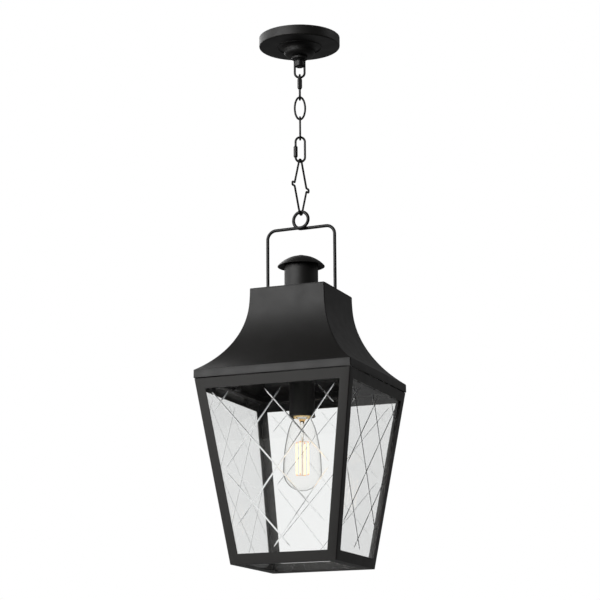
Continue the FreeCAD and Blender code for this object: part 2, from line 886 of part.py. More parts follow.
# The body follows the eave in and out, so that the brackets always reach its top rails.
body_top_half = derived("body_top_half", s.eave_half - s.eave_overhang)
taper = derived("taper", (body_top_half - s.body_foot_half) / s.body_height)
post_top, post_foot = frame_top - angle_t, frame_foot + angle_t


def half(level):
    """Half of the body's outer width at a height."""
    return body_top_half - (frame_top - level) * taper


def face_slab(name, low, high, left, right, setback, thickness, turn=0.0):
    """A flat piece in the front face, or in another after a turn.

    Its left and right edges are functions of height, and setback is how far it lies behind the face.
    """
    slab = part_object(
        "Part::Wedge",
        name,
        Ymin=low,
        Ymax=high,
        Xmin=left(low),
        Xmax=right(low),
        X2min=left(high),
        X2max=right(high),
        Zmin=half(low) - setback - thickness,
        Zmax=half(low) - setback,
        Z2min=half(high) - setback - thickness,
        Z2max=half(high) - setback,
    )
    return place(slab, (0, 0, 0), turn, 90.0)


def flange_edge(level):
    return half(level) - s.flange


def corner_post(name, turn):
    """An angle section that follows the corner between two faces."""
    front_leg = face_slab(name + "_front_leg", post_foot, post_top, flange_edge, half, 0, angle_t)
    side_leg = face_slab(
        name + "_side_leg", post_foot, post_top, lambda level: half(level) - angle_t, half, 0, s.flange
    )
    return place(fuse(name, front_leg, side_leg), (0, 0, 0), turn)


corner_posts = [
    corner_post("corner_post_front_right", 0.0),
    corner_post("corner_post_back_right", 90.0),
    corner_post("corner_post_back_left", 180.0),
    corner_post("corner_post_front_left", 270.0),
]


def mitred_flange(name, low, reach):
    """A rail's level flange, mitred at both ends."""
    inner = reach - s.flange
    return part_object(
        "Part::Wedge",
        name,
        Ymin=-reach,
        Ymax=-inner,
        Xmin=-reach,
        Xmax=reach,
        X2min=-inner,
        X2max=inner,
        Zmin=low,
        Zmax=low + angle_t,
        Z2min=low,
        Z2max=low + angle_t,
    )


def face_flange(name, low, high):
    return face_slab(name, low, high, lambda level: -flange_edge(level), flange_edge, 0, angle_t)


bracket_screw_out = eave_inside - s.bracket_foot * 0.65
deck_half = derived("deck_half", body_top_half - s.crossbar_inset)
crossbar_screw_out = deck_half + s.crossbar_foot * 0.6


def top_rail(side):
    name = f"top_rail_{side}"
    rail = fuse(
        name + "_angle",
        mitred_flange(name + "_flange", post_top, half(post_top)),
        face_flange(name + "_face", frame_top - s.flange, post_top),
    )
    spot = (s.bracket_place, -bracket_screw_out, post_top)
    holes = [cylinder(name + "_hole", s.screw_radius, angle_t, spot)]
    if side in (LEFT, RIGHT):
        spot = (0, -crossbar_screw_out, post_top)
        holes.append(cylinder(name + "_crossbar_hole", s.screw_radius, angle_t, spot))
    return place(cut(name, rail, *holes), (0, 0, 0), FROM_FRONT[side])


def bottom_rail(side):
    name = f"bottom_rail_{side}"
    rail = fuse(
        name,
        mitred_flange(name + "_flange", frame_foot, half(post_foot)),
        face_flange(name + "_face", post_foot, frame_foot + s.flange),
    )
    return place(rail, (0, 0, 0), FROM_FRONT[side])


top_rails = [top_rail(side) for side in FROM_FRONT]
bottom_rails = [bottom_rail(side) for side in FROM_FRONT]

# Each pane stands on the bottom flange, behind the posts and rails
pane_setback = angle_t + s.pane_clearance
pane_inset = pane_setback + s.pane_thickness + 1
glass_panes = [
    face_slab(
        f"glass_{side}",
        post_foot,
        post_top - s.pane_clearance,
        lambda level: pane_inset - half(level),
        lambda level: half(level) - pane_inset,
        pane_setback,
        s.pane_thickness,
        turn,
    )
    for side, turn in FROM_FRONT.items()
]


def glass_clip(side, hand):
    """A tab under the top flange that holds a pane forward; hand is -1 or 1."""
    edges = [hand * s.clip_place - s.clip_width / 2, hand * s.clip_place + s.clip_width / 2]
    return face_slab(
        f"glass_clip_{side}_{'right' if hand > 0 else 'left'}",
        post_top - s.clip_height,
        post_top,
        lambda level: edges[0],
        lambda level: edges[1],
        pane_setback + s.pane_thickness,
        s.clip_thickness,
        FROM_FRONT[side],
    )


glass_clips = group("glass_clips", [glass_clip(side, hand) for side in FROM_FRONT for hand in (-1, 1)])


def roof_bracket(side):
    """An L bracket from the inside of the eave to the frame's top flange."""
    name = f"roof_bracket_{side}"
    inside, foot_edge = eave_inside, eave_inside - s.bracket_foot
    strip = padded(
        name + "_strip",
        SIDE_PLANE,
        [
            [
                (foot_edge, frame_top),
                (inside, frame_top),
                (inside, eave_inner_top - 1),
                (inside - angle_t, eave_inner_top - 1),
                (inside - angle_t, frame_top + angle_t),
                (foot_edge, frame_top + angle_t),
            ]
        ],
        s.bracket_width,
        midplane=True,
    )
    place(strip, (0, s.bracket_place, 0))
    bore = cylinder(name + "_bore", s.screw_radius, angle_t, (bracket_screw_out, s.bracket_place, frame_top))
    return place(cut(name, strip, bore), (0, 0, 0), FROM_RIGHT[side])


roof_brackets = group("roof_brackets", [roof_bracket(side) for side in FROM_RIGHT])


def frame_screw(name, out, along, grip, turn):
    """A screw down through a foot of thickness grip into the top flange."""
    shank = cylinder(name + "_shank", s.screw_radius, angle_t + grip, (out, along, post_top))
    head = cylinder(name + "_head", s.screw_head_radius, s.screw_head_height, (out, along, frame_top + grip))
    return place(fuse(name, shank, head), (0, 0, 0), turn)


frame_screws = group(
    "frame_screws",
    [
        frame_screw(f"roof_screw_{side}", bracket_screw_out, s.bracket_place, angle_t, FROM_RIGHT[side])
        for side in FROM_RIGHT
    ]
    + [
        frame_screw(f"crossbar_screw_{side}", crossbar_screw_out, 0, s.crossbar_thickness, FROM_RIGHT[side])
        for side in (RIGHT, LEFT)
    ],
)

# ---------------------------------------------------------------- lamp
cover_top = derived("cover_top", frame_top + s.cover_above_body)
deck_top, bar_t = cover_top + s.crossbar_thickness, s.crossbar_thickness
foot_half = deck_half + s.crossbar_foot
crossbar_strip = padded(
    "crossbar_strip",
    SIDE_PLANE,
    [
        [
            (-foot_half, frame_top),
            (bar_t - deck_half, frame_top),
            (bar_t - deck_half, cover_top),
            (deck_half - bar_t, cover_top),
            (deck_half - bar_t, frame_top),
            (foot_half, frame_top),
            (foot_half, frame_top + bar_t),
            (deck_half, frame_top + bar_t),
            (deck_half, deck_top),
            (-deck_half, deck_top),
            (-deck_half, frame_top + bar_t),
            (-foot_half, frame_top + bar_t),
        ]
    ],
    s.crossbar_width,
    midplane=True,
)
crossbar = cut(
    "socket_crossbar",
    crossbar_strip,
    cylinder("crossbar_nipple_hole", s.nipple_radius, bar_t, (0, 0, cover_top)),
    cylinder("crossbar_hole_left", s.screw_radius, bar_t, (-crossbar_screw_out, 0, frame_top)),
    cylinder("crossbar_hole_right", s.screw_radius, bar_t, (crossbar_screw_out, 0, frame_top)),
)

# The cover laps over the sleeve whatever the sleeve's radius.
cover_radius = derived("cover_radius", s.sleeve_radius + s.cover_overlap)
cover_floor = derived("cover_floor", cover_top - s.socket_sheet)
socket_nut_height = 3.0
socket_nipple_foot = cover_floor - socket_nut_height
socket_nipple_length = deck_top + socket_nut_height + 2 - socket_nipple_foot
socket_nipple = cut(
    "socket_nipple",
    cylinder("socket_nipple_rod", s.nipple_radius, socket_nipple_length, (0, 0, socket_nipple_foot)),
    cylinder("socket_nipple_bore", s.nipple_bore_radius, socket_nipple_length, (0, 0, socket_nipple_foot)),
)


def nipple_nut(name, foot):
    blank = hexagon(name + "_blank", s.nipple_radius + 3.2, socket_nut_height, (0, 0, foot))
    return cut(name, blank, cylinder(name + "_bore", s.nipple_radius, socket_nut_height, (0, 0, foot)))


socket_nuts = group(
    "socket_nuts",
    [nipple_nut("socket_nut_upper", deck_top), nipple_nut("socket_nut_lower", socket_nipple_foot)],
)
cover_foot = derived("cover_foot", cover_top - s.cover_height)
socket_cover = turned(
    "socket_cover",
    [
        (s.nipple_radius, cover_top),
        (s.nipple_radius, cover_floor),
        (cover_radius - s.socket_sheet, cover_floor),
        (cover_radius - s.socket_sheet, cover_foot),
        (cover_radius, cover_foot),
        (cover_radius, cover_top - 1.5),
        (cover_radius - 1.5, cover_top),
    ],
)
sleeve_foot = derived("sleeve_foot", cover_foot - s.sleeve_height)
socket_sleeve = turned(
    "socket_sleeve",
    [
        (s.sleeve_radius - s.socket_sheet, cover_floor),
        (s.sleeve_radius - s.socket_sheet, sleeve_foot),
        (s.sleeve_radius + s.sleeve_lip, sleeve_foot),
        (s.sleeve_radius + s.sleeve_lip, sleeve_foot + 1.8),
        (s.sleeve_radius, sleeve_foot + 2.6),
        (s.sleeve_radius, cover_floor),
    ],
)
porcelain_top = derived("porcelain_top", cover_floor - s.porcelain_drop)
porcelain_foot = derived("porcelain_foot", porcelain_top - s.porcelain_height)
shell_top = derived("shell_top", porcelain_top - s.porcelain_floor)
socket_body = cut(
    "socket_body",
    cylinder("socket_body_blank", s.porcelain_radius, s.porcelain_height, (0, 0, porcelain_foot)),
    cylinder("socket_body_bore", s.shell_radius, shell_top - porcelain_foot, (0, 0, porcelain_foot)),
)
shell_foot = shell_top - s.shell_height
screw_shell = cut(
    "screw_shell",
    cylinder("screw_shell_blank", s.shell_radius, s.shell_height, (0, 0, shell_foot)),
    cylinder("screw_shell_bore", s.shell_radius - s.shell_sheet, s.shell_height, (0, 0, shell_foot)),
)
contact_foot = shell_top - s.contact_height
centre_contact = cylinder("centre_contact", s.contact_radius, s.contact_height, (0, 0, contact_foot))

# The lamp base stands clear of the contact by the chain's own gap, because the two separate
base_tip = derived("base_tip", contact_foot - s.link_gap)
base_shoulder = derived("base_shoulder", base_tip - s.base_tip_height)
base_foot = derived("base_foot", base_shoulder - s.base_height)
bulb_base = turned(
    "bulb_base",
    [
        (s.base_radius - s.shell_sheet, base_foot),
        (s.base_radius, base_foot),
        (s.base_radius, base_shoulder - 1),
        (s.base_radius - 1, base_shoulder),
        (s.contact_radius + 4, base_shoulder),
        (s.contact_radius + 1, base_tip),
        (0, base_tip),
        (0, base_shoulder - 1),
        (s.base_radius - s.shell_sheet, base_shoulder - 1),
    ],
)
side_radius = derived("side_radius", s.bulb_side_length / sine(s.bulb_side_turn))
side_centre = derived("side_centre", s.bulb_radius - side_radius)
neck_level = derived("neck_level", base_foot - s.bulb_neck_height)
belly_level = derived("belly_level", neck_level - s.bulb_side_length)
wall = s.bulb_glass
inner_side = side_radius - wall
bulb_glass = turned(
    "bulb_glass",
    [
        (0, belly_level - s.bulb_radius, 0, belly_level),
        (s.bulb_radius, belly_level, side_centre, belly_level),
        (side_centre + side_radius * cosine(s.bulb_side_turn), neck_level),
        (s.base_radius, base_foot),
        (s.base_radius - wall, base_foot),
        (
            side_centre + inner_side * cosine(s.bulb_side_turn),
            belly_level + inner_side * sine(s.bulb_side_turn),
            side_centre,
            belly_level,
        ),
        (s.bulb_radius - wall, belly_level, 0, belly_level),
        (0, belly_level - s.bulb_radius + wall),
    ],
)
stem_foot = derived("stem_foot", base_foot - s.stem_length)
bulb_stem = cylinder("bulb_stem", s.stem_radius, base_shoulder - 1 - stem_foot, (0, 0, stem_foot))
support_t, support_half = s.support_thickness, s.filament_circle + s.filament_radius
filament_top = stem_foot - support_t
filament_foot = filament_top - s.filament_length


def filament_support(name, foot):
    """A cross of two strips that the filaments' ends are welded to."""
    long, narrow = 2 * support_half, 2 * s.filament_radius
    return fuse(
        name,
        block(name + "_x", long, narrow, support_t, (-support_half, -s.filament_radius, foot)),
        block(name + "_y", narrow, long, support_t, (-s.filament_radius, -support_half, foot)),
    )


filament_supports = group(
    "filament_supports",
    [
        filament_support("upper_support", filament_top),
        filament_support("lower_support", filament_foot - support_t),
    ],
)
filaments = group(
    "filaments",
    [
        cylinder(
            f"filament_{number}",
            s.filament_radius,
            s.filament_length,
            (x * s.filament_circle, y * s.filament_circle, filament_foot),
        )
        for number, (x, y) in enumerate([(1, 0), (0, 1), (-1, 0), (0, -1)], start=1)
    ],
)

# ---------------------------------------------------------------- check and write
NODES = [
    mounting_strap,
    ground_screw,
    threaded_nipple,
    lock_nut,
    canopy,
    screw_collar,
    canopy_loop,
    upper_quick_link,
    upper_quick_link_nut,
    chain_link_1,
    chain_link_2,
    lower_quick_link,
    lower_quick_link_nut,
    hanger_link,
    bail,
    bail_nuts,
    roof_plate,
    *roof_panels,
    chimney,
    chimney_cap,
    cord_grommet,
    *corner_posts,
    *top_rails,
    *bottom_rails,
    *glass_panes,
    glass_clips,
    roof_brackets,
    frame_screws,
    crossbar,
    socket_nipple,
    socket_nuts,
    socket_cover,
    socket_sleeve,
    socket_body,
    screw_shell,
    centre_contact,
    bulb_base,
    bulb_glass,
    bulb_stem,
    filament_supports,
    filaments,
]

doc.recompute()
faults = [f"{thing.Name}: {thing.State}" for thing in doc.Objects if {"Invalid", "Error"} & set(thing.State)]
for node in NODES:
    if node.Shape.isNull() or not node.Shape.isValid() or not node.Shape.Solids:
        faults.append(f"{node.Name}: no valid solid")
if faults:
    raise SystemExit("The model has faults:\n" + "\n".join(faults))

os.makedirs("parts", exist_ok=True)
for node in NODES:
    node.Shape.exportStep(f"parts/{node.Label}.step")
print(f"{len(NODES)} parts written")
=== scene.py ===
import math

import bmesh
import bpy
from mathutils import Matrix, Vector


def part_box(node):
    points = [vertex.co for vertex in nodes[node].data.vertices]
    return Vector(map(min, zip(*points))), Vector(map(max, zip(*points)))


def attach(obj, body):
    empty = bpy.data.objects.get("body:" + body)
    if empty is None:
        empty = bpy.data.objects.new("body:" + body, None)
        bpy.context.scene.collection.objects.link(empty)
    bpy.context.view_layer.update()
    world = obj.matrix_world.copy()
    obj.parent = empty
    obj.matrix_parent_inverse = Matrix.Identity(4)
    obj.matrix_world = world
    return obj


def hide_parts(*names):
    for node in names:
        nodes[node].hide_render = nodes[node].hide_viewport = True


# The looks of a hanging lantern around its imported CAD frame. Outlines below are in millimetres.
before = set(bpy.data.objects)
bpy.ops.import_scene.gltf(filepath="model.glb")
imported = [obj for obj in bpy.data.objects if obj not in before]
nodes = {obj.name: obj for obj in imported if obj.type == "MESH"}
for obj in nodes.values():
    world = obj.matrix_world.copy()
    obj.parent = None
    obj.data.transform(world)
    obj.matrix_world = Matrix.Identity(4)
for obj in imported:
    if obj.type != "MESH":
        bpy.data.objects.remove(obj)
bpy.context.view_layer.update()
MM = 0.001
SIDES = ("front", "right", "back", "left")


def low(node):
    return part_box(node)[0] / MM


def high(node):
    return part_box(node)[1] / MM


# ---------------------------------------------------------------- materials
class Look:
    """A material with one Principled shader, and the few nodes that give it its surface."""

    def __init__(self, name, **sockets):
        self.material = bpy.data.materials.new(name)
        self.material.use_nodes = True
        self.tree = self.material.node_tree
        self.shader = next(n for n in self.tree.nodes if n.type == "BSDF_PRINCIPLED")
        self.coordinates = self.tree.nodes.new("ShaderNodeTexCoord").outputs["Object"]
        for socket, value in sockets.items():
            self.shader.inputs[socket.replace("_", " ")].default_value = value

    def link(self, output, node_input):
        self.tree.links.new(output, node_input)

    def node(self, kind, **settings):
        node = self.tree.nodes.new("ShaderNode" + kind)
        for setting, value in settings.items():
            setattr(node, setting, value)
        return node

    def noise(self, scale, detail=4.0, stretch=(1, 1, 1)):
        mapping = self.node("Mapping")
        mapping.inputs["Scale"].default_value = stretch
        self.link(self.coordinates, mapping.inputs["Vector"])
        noise = self.node("TexNoise")
        noise.inputs["Scale"].default_value = scale
        noise.inputs["Detail"].default_value = detail
        self.link(mapping.outputs["Vector"], noise.inputs["Vector"])
        return noise.outputs["Fac"]

    def colours(self, factor, *stops):
        """stops are (place, colour) pairs of a ramp that feeds the base colour."""
        ramp = self.node("ValToRGB")
        elements = ramp.color_ramp.elements
        while len(elements) < len(stops):
            elements.new(0.5)
        for element, (place, colour) in zip(elements, stops):
            element.position = place
            element.color = (*colour, 1)
        self.link(factor, ramp.inputs["Fac"])
        self.link(ramp.outputs["Color"], self.shader.inputs["Base Color"])
        return self

    def roughness(self, factor, least, most):
        spread = self.node("MapRange")
        spread.inputs["From Min"].default_value = 0.3
        spread.inputs["From Max"].default_value = 0.7
        spread.inputs["To Min"].default_value = least
        spread.inputs["To Max"].default_value = most
        self.link(factor, spread.inputs["Value"])
        self.link(spread.outputs["Result"], self.shader.inputs["Roughness"])
        return self

    def bump(self, *layers):
        """layers are (factor, strength, depth in mm), coarse to fine."""
        normal = None
        for factor, strength, depth in layers:
            bump = self.node("Bump")
            bump.inputs["Strength"].default_value = strength
            bump.inputs["Distance"].default_value = depth * MM
            self.link(factor, bump.inputs["Height"])
            if normal:
                self.link(normal, bump.inputs["Normal"])
            normal = bump.outputs["Normal"]
        self.link(normal, self.shader.inputs["Normal"])
        return self


def painted(name, dark, light, rough):
    """Satin powder paint over steel: cloudy colour, fine grain and slight orange peel."""
    look = Look(name, Specular_IOR_Level=0.5)
    clouds, grain = look.noise(22, 5), look.noise(900, 3)
    look.colours(clouds, (0.3, dark), (0.7, light))
    look.roughness(look.noise(60, 4), rough - 0.03, rough + 0.04)
    return look.bump((look.noise(160, 2), 0.06, 0.1), (grain, 0.12, 0.03)).material


def metal(name, dark, light, rough, stretch=(1, 1, 12), **sockets):
    """Bare or plated metal, brushed along one axis unless stretch is even."""
    look = Look(name, Metallic=1.0, **sockets)
    look.colours(look.noise(90, 5), (0.3, dark), (0.7, light))
    brushed = look.noise(500, 3, stretch)
    look.roughness(brushed, rough - 0.07, rough + 0.1)
    return look.bump((brushed, 0.12, 0.03)).material


def clear(name, dark, light, rough, wave, index=1.46, **sockets):
    """Clear glass with faint waves from rolling."""
    look = Look(name, Transmission_Weight=1.0, IOR=index, **sockets)
    look.colours(look.noise(30, 3), (0.3, dark), (0.7, light))
    look.roughness(look.noise(140, 4), rough[0], rough[1])
    return look.bump((look.noise(14, 2), wave, 0.3)).material


def glowing(name, dark, light, colour, strength):
    """A hot filament, which gives light of its own."""
    look = Look(name, Roughness=0.5, Emission_Color=(*colour, 1), Emission_Strength=strength)
    look.colours(look.noise(700, 3), (0.3, dark), (0.7, light))
    return look.bump((look.noise(1400, 2), 0.3, 0.05)).material


def plain_stuff(name, dark, light, rough, grain, **sockets):
    """Ceramic, rubber and the floor: a cloudy colour with a fine grain."""
    look = Look(name, **sockets)
    look.colours(look.noise(80, 4), (0.3, dark), (0.7, light))
    look.roughness(look.noise(200, 3), rough - 0.05, rough + 0.06)
    return look.bump((look.noise(grain, 3), 0.15, 0.05)).material


PAINT = painted("black_paint", (0.0125, 0.0118, 0.011), (0.0155, 0.0147, 0.0138), 0.5)
# Painted light: the frame's paint is a lighter copy of the same black paint, so the frame reads brighter
# than the roof
PAINTED_LIGHT_FRAME_PAINT = painted("frame_paint_with_painted_light", (0.029, 0.0275, 0.0255), (0.034, 0.0322, 0.03), 0.47)
WIRE_PAINT = painted("wire_paint", (0.010, 0.0098, 0.0094), (0.014, 0.0137, 0.0132), 0.42)
ZINC = metal("zinc_steel", (0.48, 0.48, 0.47), (0.62, 0.62, 0.6), 0.36)
GREEN = painted("green_screw_paint", (0.02, 0.14, 0.05), (0.03, 0.2, 0.08), 0.35)
BRASS = metal("nickel_brass", (0.55, 0.47, 0.3), (0.7, 0.62, 0.42), 0.3, (1, 1, 1))
# Painted light: the lit filaments' light on the base and on their wires is painted on as a faint glow of
# their own
PAINTED_FILAMENT_LIGHT = {"Emission_Color": (1.0, 0.72, 0.34, 1), "Emission_Strength": 0.32}
GOLD = metal("gold_base", (0.8, 0.6, 0.3), (0.92, 0.74, 0.42), 0.3, (1, 1, 1), **PAINTED_FILAMENT_LIGHT)
GLASS = clear("pane_glass", (0.984, 0.991, 0.987), (0.991, 0.996, 0.993), (0.0, 0.01), 0.01)
GROOVE = clear("pane_groove", (0.90, 0.92, 0.915), (0.96, 0.975, 0.97), (0.22, 0.4), 0.05)
BULB_GLASS = clear("bulb_glass", (0.985, 0.982, 0.975), (0.995, 0.992, 0.986), (0.0, 0.01), 0.01, 1.12)
STEM_GLASS = clear("stem_glass", (0.96, 0.94, 0.9), (0.985, 0.97, 0.94), (0.02, 0.06), 0.05, 1.2)
PORCELAIN = plain_stuff("porcelain", (0.72, 0.71, 0.67), (0.82, 0.81, 0.77), 0.22, 60, Coat_Weight=0.6)
INSULATOR = plain_stuff("base_insulator", (0.01, 0.01, 0.012), (0.02, 0.02, 0.022), 0.2, 60)
RUBBER = plain_stuff("rubber", (0.012, 0.012, 0.012), (0.022, 0.022, 0.021), 0.7, 500)
# The support wires carry the same painted glow, which stands for the filaments' light on them
SUPPORT = metal("support_wire", (0.7, 0.52, 0.4), (0.82, 0.64, 0.5), 0.3, (1, 1, 1), **PAINTED_FILAMENT_LIGHT)
FILAMENT = glowing("filament", (0.9, 0.6, 0.25), (1.0, 0.72, 0.35), (1.0, 0.78, 0.5), 1.2)
EMBER = glowing("hot_end", (0.8, 0.3, 0.1), (0.95, 0.4, 0.15), (1.0, 0.26, 0.06), 1.0)


# ---------------------------------------------------------------- mesh tools
def arc(x, z, radius, start, end, steps=8):
    """Points (x, z) along an arc, angles in degrees."""
    turns = [math.radians(start + (end - start) * k / steps) for k in range(steps + 1)]
    return [(x + radius * math.cos(a), z + radius * math.sin(a)) for a in turns]


def shell(rings, closed=True):
    """Quads between rings of the same number of points; closed joins the last ring to the first."""
    count = len(rings[0])
    points = [p for ring in rings for p in ring]
    faces = []
    for k in range(len(rings) if closed else len(rings) - 1):
        a, b = k * count, (k + 1) % len(rings) * count
        for i in range(count):
            j = (i + 1) % count
            faces.append((a + i, a + j, b + j, b + i))
    return points, faces


def lathe(outline, closed=True, sides=96, ripple=None):
    """Turns (radius, z) points about Z. ripple(angle, radius, z) may change the radius."""
    rings = []
    for radius, z in outline:
        ring = []
        for i in range(sides):
            a = 2 * math.pi * i / sides
            r = ripple(a, radius, z) if ripple else radius
            ring.append((r * math.cos(a), r * math.sin(a), z))
        rings.append(ring)
    return shell(rings, closed)


def tube(path, radius, closed=False, sides=20):
    """A round rod along points in space, with eased ends where it is open."""
    path = [Vector(p) for p in path]
    last = len(path) - 1
    heading = []
    for k in range(len(path)):
        before = path[k - 1] if k or closed else path[0]
        after = path[(k + 1) % len(path)] if k < last or closed else path[last]
        heading.append((after - before).normalized())
    side = heading[0].orthogonal().normalized()
    sections = []
    for k, point in enumerate(path):
        side = (side - heading[k] * side.dot(heading[k])).normalized()
        sections.append((point, side.copy(), heading[k].cross(side)))
    if closed:
        slip = Vector((sections[0][1].dot(side), sections[0][1].dot(heading[0].cross(side))))
        twist = math.atan2(slip.y, slip.x)
    else:
        twist = 0.0
    rings = []
    for k, (point, one, two) in enumerate(sections):
        shift = twist * k / len(sections)
        turns = [2 * math.pi * i / sides + shift for i in range(sides)]
        rings.append([point + (one * math.cos(a) + two * math.sin(a)) * radius for a in turns])
    if closed:
        return shell(rings)
    for end, inward in ((0, heading[0]), (-1, -heading[last])):
        middle = path[end]
        rim = rings[end]
        eased = [middle + (p - middle) * 0.82 for p in rim]
        rings[end] = [p + inward * radius * 0.18 for p in rim]
        cap = [eased, [middle.copy() for _ in rim]]
        rings = cap[::-1] + rings if end == 0 else rings + cap
    return shell(rings, closed=False)


def bent(points, radii, closed=False):
    """A path through corner points, each rounded to its radius."""
    points = [Vector(p) for p in points]
    count = len(points)
    path = [] if closed else [points[0]]
    for k, radius in zip(range(0 if closed else 1, count if closed else count - 1), radii):
        corner = points[k]
        one = (points[k - 1] - corner).normalized()
        two = (points[(k + 1) % count] - corner).normalized()
        half = one.angle(two) / 2
        middle = corner + (one + two).normalized() * radius / math.sin(half)
        first = (corner + one * radius / math.tan(half) - middle).normalized()
        final = (corner + two * radius / math.tan(half) - middle).normalized()
        steps = max(4, round(math.degrees(math.pi - 2 * half) / 6))
        for step in range(steps + 1):
            path.append(middle + first.slerp(final, step / steps) * radius)
    if not closed:
        path.append(points[-1])
    return path


def joined(*parts):
    points, faces = [], []
    for more_points, more_faces in parts:
        faces += [tuple(i + len(points) for i in face) for face in more_faces]
        points += more_points
    return points, faces


def turned_by(part, degrees, centre=(0, 0, 0)):
    points, faces = part
    place = Matrix.Translation(centre) @ Matrix.Rotation(math.radians(degrees), 4, "Z")
    return [place @ Vector(p) for p in points], faces


def piece(name, part, body, material, stands_for, crease=35.0):
    """A finished mesh that rides on a body and stands for CAD nodes."""
    points, faces = part
    mesh = bpy.data.meshes.new(name)
    mesh.from_pydata([Vector(p) * MM for p in points], [], faces)
    work = bmesh.new()
    work.from_mesh(mesh)
    bmesh.ops.remove_doubles(work, verts=work.verts, dist=1e-7)
    bmesh.ops.dissolve_degenerate(work, dist=1e-7, edges=work.edges)
    bmesh.ops.recalc_face_normals(work, faces=work.faces)
    work.to_mesh(mesh)
    work.free()
    mesh.shade_smooth()
    mesh.set_sharp_from_angle(angle=math.radians(crease))
    mesh.materials.append(material)
    thing = bpy.data.objects.new(name, mesh)
    bpy.context.scene.collection.objects.link(thing)
    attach(thing, body)
    if stands_for:
        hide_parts(*stands_for)
    return thing


def eased(thing, width=0.3):
    """Breaks an object's sharp edges."""
    weld = thing.modifiers.new("weld", "WELD")
    weld.merge_threshold = 1e-6
    bevel = thing.modifiers.new("bevel", "BEVEL")
    bevel.width = width * MM
    bevel.segments = 2
    bevel.limit_method = "ANGLE"
    bevel.angle_limit = math.radians(40)
    bevel.harden_normals = True
    return thing


def keep(node, material, width=0.3):
    """Carries a CAD node over with its own material and broken edges."""
    thing = nodes[node]
    thing.data.materials.clear()
    thing.data.materials.append(material)
    thing.data.shade_smooth()
    thing.data.set_sharp_from_angle(angle=math.radians(30))
    eased(thing, width)


def screw_thread(pitch, depth, at=None):
    """A rounded thread that winds round a turned surface, or only round its points at one radius."""

    def ripple(angle, radius, z):
        if at is not None and radius != at:
            return radius
        wave = math.cos(2 * math.pi * z / pitch - angle)
        return radius + depth * (wave - 1) / 2

    return ripple


def levels(top, foot, step):
    """Heights from the top to the foot, about a step apart."""
    count = max(1, round((top - foot) / step))
    return [top + (foot - top) * k / count for k in range(count + 1)]


# ---------------------------------------------------------------- ceiling group
CHAIN_TURN, HANGER_TURN = 21.5, 84.4
FACE_ON, EDGE_ON = CHAIN_TURN, CHAIN_TURN + 90

rim, floor, bell_foot = high("canopy").x, -15.8, low("canopy").z
curve, sheet, rounding, hole = 7.6, 1.2, 2, 10.5
bead_at, bead, bell_rim = 34.5, 1.2, 32
bell_neck = bell_rim - 2 * curve
canopy_outline = (
    [(rim - 0.4, 0), (rim, -0.4)]
    + arc(rim - rounding, floor + rounding, rounding, 0, -90)
    + arc(bead_at, floor, bead, 0, -180, 10)
    + arc(bell_rim, floor - curve, curve, 90, 180, 14)
    + arc(bell_neck, floor - curve, curve, 0, -90, 14)
    + [(hole + 0.4, bell_foot), (hole, bell_foot + 0.4), (hole, bell_foot + sheet)]
    + arc(bell_neck, floor - curve, curve - sheet, -90, 0, 12)
    + arc(bell_rim, floor - curve, curve + sheet, 180, 90, 12)
    + arc(rim - rounding, floor + rounding, rounding - sheet, -90, 0, 6)
    + [(rim - sheet, -0.4), (rim - sheet + 0.3, 0)]
)
piece("canopy_shell", lathe(canopy_outline, sides=144), "canopy", PAINT, ["canopy"])

collar_top, collar_foot = high("screw_collar").z, low("screw_collar").z
collar_rim, collar_bore = high("screw_collar").x, 9.95
collar_outline = (
    [(collar_bore, collar_top), (collar_bore, collar_foot + 0.5), (10.4, collar_foot)]
    + arc(collar_rim - 1.4, collar_foot + 1.4, 1.4, -90, 0, 6)
    + arc(collar_rim - 0.5, collar_top - 0.5, 0.5, 0, 90, 4)
)
piece("collar_ring", lathe(collar_outline), "canopy", PAINT, ["screw_collar"])

loop_bar, loop_half, loop_wire = -65.3, 7.65, 1.8
shank_top, shank_foot, shank_half, body_foot = -23, collar_foot - 2, 9.75, -48.5
shank = lathe(
    [(0, -31), (4.8, -31), (4.8, shank_top), (9.2, shank_top), (shank_half, shank_top - 0.6)]
    + [(shank_half, z) for z in levels(shank_top - 1, shank_foot + 0.6, 0.25)]
    + [(9.2, shank_foot), (7.4, shank_foot - 0.2)]
    + arc(4.4, body_foot + 3, 3, 0, -90, 10)
    + [(0, body_foot)],
    closed=False,
    ripple=screw_thread(1.2, 0.35, at=shank_half),
)
bend = loop_bar + loop_half
loop_path = (
    [(-loop_half, 0, shank_foot + 0.5)]
    + [(x, 0, z) for x, z in arc(0, bend, loop_half, 180, 360, 30)]
    + [(loop_half, 0, shank_foot + 0.5)]
)
loop_part = turned_by(joined(shank, tube(loop_path, loop_wire)), CHAIN_TURN)
piece("loop_and_shank", loop_part, "ceiling_mount", WIRE_PAINT, ["canopy_loop"])


def threaded_tube(name, node, material, body):
    """A running-thread tube in place of the plain one."""
    top, foot, radius = high(node).z, low(node).z, high(node).x
    bore = 3.5
    outline = [(radius - 0.5, top), (radius, top - 0.5)]
    outline += [(radius, z) for z in levels(top - 0.6, foot + 0.6, 0.2)]
    outline += [(radius, foot + 0.5), (radius - 0.5, foot), (bore, foot), (bore, top)]
    part = lathe(outline, sides=64, ripple=screw_thread(0.9, 0.4, at=radius))
    piece(name, part, body, material, [node], crease=50)


